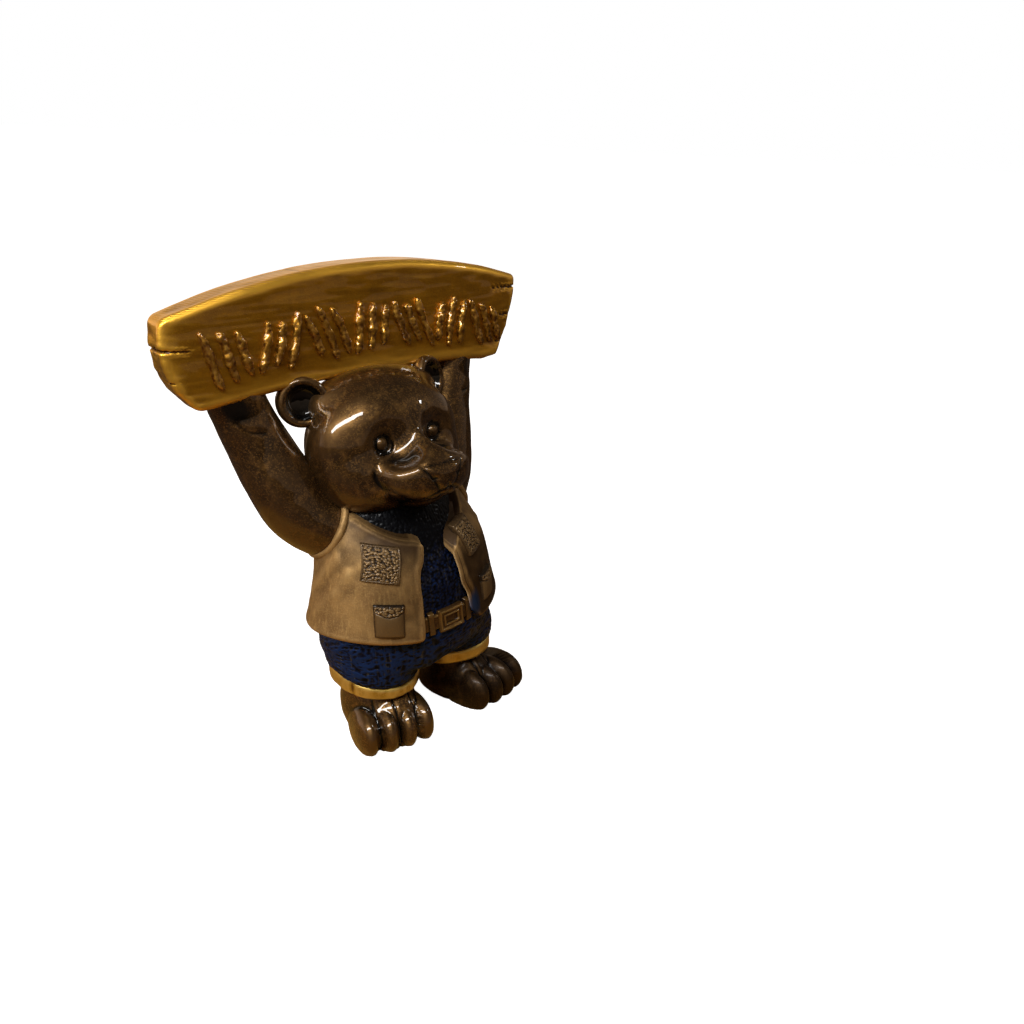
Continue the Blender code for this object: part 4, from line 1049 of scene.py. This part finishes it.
# %% [markdown]
# ## Pockets, belt and buckle
#
# These all lie on a rounded body, so one helper serves them: a patch of the body's surface,
# lifted by a height that is written as a function of the place on the patch. The patch is closed
# by a second layer inside the body. Beads are half balls round points that are moved off their
# cells' middles.

# %% Patches on a rounded body
def patch(levels, middle, across, up, lift, rows=90, columns=96, sink=1.6):
    """A lifted patch. u and v run over it from -1 to 1; lift(u, v) gives height and relief. Its
    middle, its half width and its half height are (x, z) pairs, so it may slant. The ring of
    columns goes over the top and back underneath, so the form is closed."""
    u = np.sin(np.linspace(-math.pi / 2, math.pi / 2, rows))[:, None] * 0.35
    u = u + np.linspace(-1, 1, rows)[:, None] * 0.65
    top = np.linspace(-1, 1, columns)
    v = np.concatenate([top, top[::-4]])[None, :]
    u, v = np.broadcast_arrays(u, v)
    height, relief = lift(u, v)
    under = np.concatenate([np.zeros(columns, bool), np.ones(len(top[::-4]), bool)])[None, :]
    height = np.where(under, -sink, height)
    x, z = (middle[k] + u * across[k] + v * up[k] for k in (0, 1))
    half = np.interp(z, levels[:, 0], levels[:, 2])
    angle = np.arcsin(np.clip(x / half, -0.98, 0.98))
    return skin(on_stack(levels, angle, z, height), np.where(under, -1, relief))


def pillow(u, v, power_u, power_v):
    """A form of height 1 that is flat on top and falls at its border, more steeply with the power."""
    return np.clip((1 - np.abs(u) ** power_u) * (1 - np.abs(v) ** power_v), 0, 1) ** 0.5


def beads(u, v, across, up, seed):
    """Half balls on jittered points, across and up the patch."""
    near = pebbles(u * across + 0.35 * np.sin(3 * v), v * up + 0.4 * np.sin(4 * u), seed)
    ball = np.sqrt(np.maximum(1 - (near / 0.62) ** 2, 0))
    cell = np.stack([np.floor(u * across), np.floor(v * up), 0 * u], -1)
    return ball * (0.75 + 0.5 * chance(cell, seed))


print("a pillow's height in its middle and at its border:", [pillow(u, 0.0, 8, 8) for u in (0.0, 1.0)])

# %% Build the pockets
EDGE_SINK = -1.5              # a pocket's border goes this far into the vest


def beaded_pocket(u, v):
    """Border ridge, then beads inside it."""
    inside = np.minimum(1 - np.abs(u), 1 - np.abs(v))
    field = ease(0.10, 0.2, inside)
    ball = beads(u, v, 5.8, 7.6, 51) * field
    border = np.exp(-((inside - 0.07) / 0.05) ** 2)
    height = pillow(u, v, 14, 14) + 0.45 * border + 0.6 * ball - 0.2 * field - 0.1
    relief = np.clip(1.5 * ball - 0.65 * field + 0.3 * border, -0.8, 0.8)
    return np.where(inside <= 0, EDGE_SINK, height), relief


def flap_pocket(u, v):
    """A smooth pouch that bulges low down, under a beaded flap."""
    inside = np.minimum(1 - np.abs(u), 1 - np.abs(v))
    flap = ease(0.42, 0.5, v + 0.12 * np.cos(3 * u))
    ball = beads(u, v, 5.0, 7.0, 55) * flap * ease(0.02, 0.12, inside)
    pouch = (1 - np.abs(u) ** 3) * (0.75 + 0.25 * np.sin(2.6 * (v + 0.5)))
    height = pillow(u, v, 12, 12) * (0.6 + 1.7 * pouch * (1 - 0.3 * flap)) + 0.5 * ball + 0.5 * flap
    step = np.exp(-((v + 0.12 * np.cos(3 * u) - 0.43) / 0.05) ** 2)
    seam_painted_shade = np.exp(-(inside / 0.09) ** 2) + 0.9 * step
    # the border and the step under the flap are darkened: painted shade
    relief = np.clip(1.4 * ball + 0.5 - 0.95 * flap - seam_painted_shade, -1, 0.8)
    return np.where(inside <= 0, EDGE_SINK, height - 0.3 * step), relief


# middle, half width and half height as (x, z), and the kind of pocket
POCKETS = (((-26.0, 83.8), (5.8, -1.5), (2.3, 7.2), beaded_pocket),
           ((-27.9, 60.6), (5.1, -0.9), (0.8, 7.0), flap_pocket),
           ((15.8, 85.4), (5.2, 1.2), (-2.1, 7.0), beaded_pocket),
           ((22.5, 61.4), (4.8, 0.8), (-0.2, 6.1), flap_pocket))
piece("vest_pockets", [patch(VEST, *numbers) for numbers in POCKETS], pocket_paint)

# %% Build the belt
BELT_Z, BELT_HALF = 53.5, 3.6
BUCKLE_HALF = (6.4, 4.9)      # across and up
LOOP_X, LOOP_HALF = 9.8, (1.5, 5.2)


def belt_band(rows=26, columns=260):
    """A flat band round the trunk with rounded edges and faint wrinkles."""
    t = np.linspace(-1, 1, columns, endpoint=False)[None, :]
    angle = math.pi * (0.45 * t + 0.55 * t ** 3)
    v = np.sin(np.linspace(-math.pi / 2, math.pi / 2, rows))[:, None]
    out = 2.0 * (1 - np.abs(v) ** 6) - 0.6 + 0.35 * np.exp(-((np.abs(v) - 0.8) / 0.1) ** 2)
    grid = on_stack(TRUNK, angle, BELT_Z + v * BELT_HALF, out)
    return raised(grid, 0.12 * billow(grid, (2.5, 2.5, 5.0), 61))


def buckle_lift(u, v):
    """A plate with a raised rim round it and a smaller raised frame in its middle."""
    box = np.maximum((np.abs(u) - 1) * BUCKLE_HALF[0], (np.abs(v) - 1) * BUCKLE_HALF[1])
    rim, inner = np.exp(-((box + 1.0) / 0.6) ** 2), np.exp(-((box + 2.9) / 0.45) ** 2)
    well = ease(-3.2, -3.8, box)
    height = 1.9 + 0.75 * rim + 0.55 * inner - 0.9 * well
    return np.where(box >= 0, 0.0, height), np.clip(rim + inner - 1.3 * well - 0.2, -1, 1)


def loop_lift(u, v):
    """A narrow strap bent over the belt."""
    return 2.3 * pillow(u, v, 6, 8), 0.4 - np.abs(u) ** 4


def upright_patch(x, half, lift, rows, columns):
    """A patch on the trunk that stands upright at the belt's height."""
    return patch(TRUNK, (x, BELT_Z), (half[0], 0.0), (0.0, half[1]), lift, rows, columns)


belt_grid = belt_band()
belt_skins = [skin(belt_grid, shape_relief(belt_grid, 2, 0.15)),
              upright_patch(0.0, BUCKLE_HALF, buckle_lift, 80, 70)]
belt_skins += [upright_patch(side * LOOP_X, LOOP_HALF, loop_lift, 26, 50) for side in SIDES]
piece("belt_and_buckle", belt_skins, belt_paint)

# %% [markdown]
# ## Cuffs and feet
#
# A cuff is a rounded band carried round the leg. The right one slants down to the front and gets
# narrower there, and the left one is level. A foot is made like the head, from soft-edged balls;
# its four toes are joined with almost no fillet, which leaves the deep grooves between them. Rays
# that would go below the ground stop on it, so the soles are flat and the figure stands.

# %% Build the cuffs
CUFF_RADII, CUFF_THICK, CUFF_SEAM = (16.4, 16.6), 2.2, 1.19


def cuff_surface(side, leg_x, cuff, rows=220, columns=40):
    """A superellipse section carried round the leg on a slant; both directions wrap. On the outer
    side a narrow dent shows where the two ends of the band meet."""
    turn = np.linspace(0, 2 * math.pi, rows, endpoint=False)[:, None]
    at = np.linspace(0, 2 * math.pi, columns, endpoint=False)[None, :]
    out = CUFF_THICK * np.sign(np.cos(at)) * np.abs(np.cos(at)) ** 0.5
    up = np.sign(np.sin(at)) * np.abs(np.sin(at)) ** 0.5
    x = side * leg_x + (CUFF_RADII[0] + out) * np.sin(turn)
    y = LEG_Y - (CUFF_RADII[1] + out) * np.cos(turn)
    middle_z, rise, half, growth = cuff
    back = np.minimum(y - LEG_Y, CUFF_LEVEL_FROM)
    grid = np.stack([x, y, middle_z + rise * back + up * (half + growth * back)], -1)
    signed = np.where(turn > math.pi, turn - 2 * math.pi, turn)
    pinch = 0.4 * np.exp(-((signed - side * CUFF_SEAM) / 0.06) ** 2)
    swell = 0.22 * billow(grid, (5, 5, 8), 71) + 0.10 * billow(grid, 2.0, 72) - pinch * np.cos(at).clip(0)
    return raised(grid, swell, (True, True))


cuff_grids = [cuff_surface(*numbers) for numbers in zip(SIDES, LEG_X, CUFFS)]
cuff_skins = [skin(g, shape_relief(g, 3, 0.3, (True, True)), (True, True)) for g in cuff_grids]
piece("trouser_cuffs", cuff_skins, cuff_paint)

# %% Foot lines
TOE_SPACING, TOE_RADII, TOE_Z, TOE_BACK = 7.7, (5.0, 14.2, 10.6), 7.0, 3.0
# side, middle of the toe row, middle of the sole, turn outwards in degrees
FEET = ((-1.0, (-25.0, -23.6), (-22.4, -12.0), 18.0), (1.0, (28.0, -27.0), (25.0, -14.0), 6.0))
FOOT_MIDDLE, FOOT_REACH = (22.5, -14.0, 8.0), 45.0
# middle, radii, power, softness of the join; the sole and the ball lie in the foot's own turn
SOLE = ((0.0, -1.5, 4.0), (12.6, 17.4, 13.0), 2.5)
LEG_LOBES = (((20.8, -8.5, 15.0), (15.0, 14.8, 16.5), 2.3, 3.0),      # ankle
             ((21.5, -17.5, 11.5), (12.5, 13.0, 10.5), 2.0, 2.0),     # instep
             ((20.5, -2.0, 6.0), (9.6, 12.0, 9.5), 2.0, 2.0))         # heel
BALL = ((0.0, 8.0, 6.0), (14.4, 11.0, 8.6), 2.0)
BALL_SOFT, TOE_POWER, TOE_SOFT, TOE_FAN = 2.0, 2.1, 0.5, 2.0
print("four toes,", TOE_SPACING, "mm from one to the next")

# %% The foot as a distance
def turned_about(points, middle, degrees):
    """Points seen in a foot's own frame, whose toes point to -Y."""
    cos, sin = math.cos(math.radians(degrees)), math.sin(math.radians(degrees))
    x, y = points[..., 0] - middle[0], points[..., 1] - middle[1]
    return np.stack([x * cos + y * sin, -x * sin + y * cos, points[..., 2]], -1)


def foot_distance(side, toe_row, sole, degrees):
    """The distance function of one foot: sole, ankle, instep, heel, ball and four toes."""
    def distance(points):
        found = lobe(turned_about(points, sole, side * degrees), *SOLE)
        for middle, radii, power, soft in LEG_LOBES:
            found = joined(found, lobe(points, on_side(middle, side), radii, power), soft)
        own = turned_about(points, toe_row, side * degrees)
        found = joined(found, lobe(own, *BALL), BALL_SOFT)
        for place in (-1.5, -0.5, 0.5, 1.5):
            across = place * TOE_SPACING
            toe_own = turned_about(own, (across, TOE_BACK + 0.012 * across ** 2), TOE_FAN * place)
            found = joined(found, lobe(toe_own, (0, 0, TOE_Z), TOE_RADII, TOE_POWER), TOE_SOFT)
        return found
    return distance


above = foot_distance(*FEET[0])(np.array((-22.5, -14.0, 40.0)))
print(f"a point 40 mm up is {above:.1f} mm away from the right foot")

# %% Build the feet
def foot_surface(side, toe_row, sole, degrees, rows=142, columns=180):
    """The wrapped foot with grooves drawn on from toe to ankle; rays that point down stop on the
    ground."""
    middle = on_side(FOOT_MIDDLE, side)
    rays = rays_forward(rows, columns, 1.25)
    grid = shrink_wrapped(foot_distance(side, toe_row, sole, degrees), middle, rays, FOOT_REACH)
    own = turned_about(grid, toe_row, side * degrees)
    slots = [np.abs(own[..., 0] - k * TOE_SPACING * (1 + 0.010 * (6.0 - own[..., 1]))) for k in (-1, 0, 1)]
    slot = 0.9 * np.exp(-(np.minimum.reduce(slots) / 0.6) ** 2) * ease(17.0, 8.0, own[..., 1])
    grid = raised(grid, 0.12 * billow(grid, 4.5, 81 + side) + 0.05 * billow(grid, 1.8, 83) - slot)
    reach = np.linalg.norm(grid - middle, axis=-1)
    ground = np.where(rays[..., 2] < -1e-3, middle[2] / np.maximum(-rays[..., 2], 1e-3), 1e3)
    grid = middle + rays * np.minimum(reach, ground)[..., None]
    grid[..., 2] = np.maximum(grid[..., 2], 0.0)
    return grid, np.where(reach < ground, shape_relief(grid, 3, 0.4), 0)


# the left foot has a darker copy of the fur paint, with a dull gloss: painted shade, so it comes out darker
# than the right one
piece("bear_right_foot", [skin(*foot_surface(*FEET[0]))], fur_paint)
piece("bear_left_foot", [skin(*foot_surface(*FEET[1]))], shaded_fur_paint)

# %% [markdown]
# ## The floor
#
# The floor is plain. The camera sees it almost white, but what the statue reflects of it is dark
# wood brown, with a painted pool of warm amber light on one side that glows in the vest's
# varnish. A node that tells camera rays from all others chooses between the two.

# %% Floor
FLOOR_HALF = 30.0                               # metres
AMBER_AT, AMBER_EDGE = (-0.06, 0.02, 0.0), (0.12, 0.21)
AMBER, FLOOR_BROWN = (0.40, 0.22, 0.045, 1), (0.08, 0.052, 0.036, 1)
FLOOR_SEEN, FLOOR_GLOW = (0.86, 0.86, 0.86, 1), (0.96, 0.96, 0.96, 1)
BLACK = (0, 0, 0, 1)


def paint_floor(material):
    """Brown with a painted pool of amber light, seen in reflections; pale and glowing for the camera."""
    material.use_nodes = True
    tree = material.node_tree
    shader = tree.nodes["Principled BSDF"]
    seen = add(tree, "LightPath").outputs["Is Camera Ray"]
    here = add(tree, "TexCoord").outputs["Object"]
    away = add(tree, "VectorMath", {0: here, 1: AMBER_AT}, operation="DISTANCE").outputs["Value"]
    warm = mix(tree, spread(tree, away, *AMBER_EDGE), AMBER, FLOOR_BROWN)
    tree.links.new(mix(tree, seen, warm, FLOOR_SEEN), shader.inputs["Base Color"])
    tree.links.new(mix(tree, seen, BLACK, FLOOR_GLOW), shader.inputs["Emission Color"])
    shader.inputs["Emission Strength"].default_value = 1.0
    shader.inputs["Roughness"].default_value = 0.9
    shader.inputs["Specular IOR Level"].default_value = 0.1


floor_paint = bpy.data.materials.new("pale floor")
paint_floor(floor_paint)
floor_mesh = bpy.data.meshes.new("floor")
floor_corners = [(x * FLOOR_HALF, y * FLOOR_HALF, 0) for x, y in ((-1, -1), (1, -1), (1, 1), (-1, 1))]
floor_mesh.from_pydata(floor_corners, [], [(0, 1, 2, 3)])
floor_mesh.materials.append(floor_paint)
floor = bpy.data.objects.new("floor", floor_mesh)
bpy.context.scene.collection.objects.link(floor)
print("floor", 2 * FLOOR_HALF, "m wide")

# %% [markdown]
# ## The room
#
# Gloss shows mostly what it reflects, so the surroundings matter as much as the paint. The camera
# sees a white room. The varnish sees a dim and warm one that is brighter near the floor, with two
# round zones of light: a large one behind on the left, and a small one behind on the right. The
# brightness in a zone follows the cosine of the angle to its middle, which is a dot product.

# %% Room
ROOM_LOW, ROOM_HIGH, ROOM_TURN = 0.30, 0.06, 0.45     # brightness at the floor and above the turn
ROOM_TINT, ROOM_SEEN = (1.0, 0.72, 0.50, 1), (1, 1, 1, 1)
# towards the middle, cosine at the border, cosine where the zone is full, brightness
ROOM_ZONES = (((-0.62, 0.78, 0.02), 0.72, 0.97, 0.9), ((0.45, 0.89, 0.05), 0.86, 0.98, 0.45))

world = bpy.data.worlds.new("studio")
bpy.context.scene.world = world
world.use_nodes = True
tree = world.node_tree
background = tree.nodes["Background"]
seen = add(tree, "LightPath").outputs["Is Camera Ray"]
towards = add(tree, "TexCoord").outputs["Generated"]
up = add(tree, "SeparateXYZ", {0: towards}).outputs["Z"]
level = add(tree, "MapRange", {"Value": up, "From Min": 0.0, "From Max": ROOM_TURN,
                               "To Min": ROOM_LOW, "To Max": ROOM_HIGH}).outputs["Result"]
for middle, border, full, brightness in ROOM_ZONES:
    cosine = add(tree, "VectorMath", {0: towards, 1: middle}, operation="DOT_PRODUCT").outputs["Value"]
    zone = spread(tree, cosine, border, full, 0.0, brightness)
    level = add(tree, "Math", {0: level, 1: zone}).outputs[0]
strength = add(tree, "MapRange", {"Value": seen, "To Min": level, "To Max": 1.0}).outputs["Result"]
tree.links.new(mix(tree, seen, ROOM_TINT, ROOM_SEEN), background.inputs["Color"])
tree.links.new(strength, background.inputs["Strength"])
print("room with", len(ROOM_ZONES), "brighter zones")

# %% [markdown]
# ## The lights
#
# Three rectangles of light do the rest. A long, narrow one high on the left, turned so that its
# long side lies along the forehead, draws the streak there. A small one on the right is a distant
# window, and gives the small highlights. A large warm one behind lights the rims.

# %% Lights
def soft_light(name, place, target, size, power, colour=(1, 1, 1), along=(1, 0, 0)):
    """A rectangular light at a place, facing a target. Its first side runs along a direction, less
    the part of it that points at the target."""
    lamp = bpy.data.lights.new(name, "AREA")
    lamp.shape, lamp.size, lamp.size_y = "RECTANGLE", *size
    lamp.energy, lamp.color = power, colour
    back = unit(np.array(place) - np.array(target))
    across = unit(np.array(along) - np.dot(along, back) * back)
    turn = Matrix(np.stack([across, np.cross(back, across), back], 1).tolist())
    made = bpy.data.objects.new(name, lamp)
    made.matrix_world = Matrix.Translation(place) @ turn.to_4x4()
    bpy.context.scene.collection.objects.link(made)
    print(name, "at", place, "gives", power, "W")


CHEST = (0.0, 0.0, 0.12)
soft_light("key strip", (-0.52, -0.30, 0.76), CHEST, (1.0, 0.12), 9.0, along=(0.748, -0.539, 0.355))
soft_light("right window", (0.75, -0.40, 0.60), CHEST, (0.07, 0.09), 0.5)
soft_light("back wall", (0.3, 0.9, 0.7), (0.0, 0.0, 0.1), (1.4, 1.0), 1.4, (1.0, 0.74, 0.42))

# %% [markdown]
# ## The camera
#
# The camera stands a little over the statue's height, to its front left, and looks down at it. It
# is shifted sideways, as a view camera is, so that the statue lies off the middle of the view and
# its uprights still lean as they should.

# %% Camera and the last line
LENS, SENSOR, SHIFT = 34.9, 36.0, -0.1836             # mm, mm, share of the sensor's width
CAMERA_AT, CAMERA_TURN = (-0.26975, -0.32898, 0.24749), (69.904, -2.622, -55.779)

lens = bpy.data.cameras.new("view")
lens.lens, lens.sensor_width, lens.shift_x = LENS, SENSOR, SHIFT
camera = bpy.data.objects.new("view", lens)
bpy.context.scene.collection.objects.link(camera)
camera.location = CAMERA_AT
camera.rotation_euler = [math.radians(angle) for angle in CAMERA_TURN]
bpy.context.scene.camera = camera
bpy.context.scene.view_settings.view_transform = "Standard"
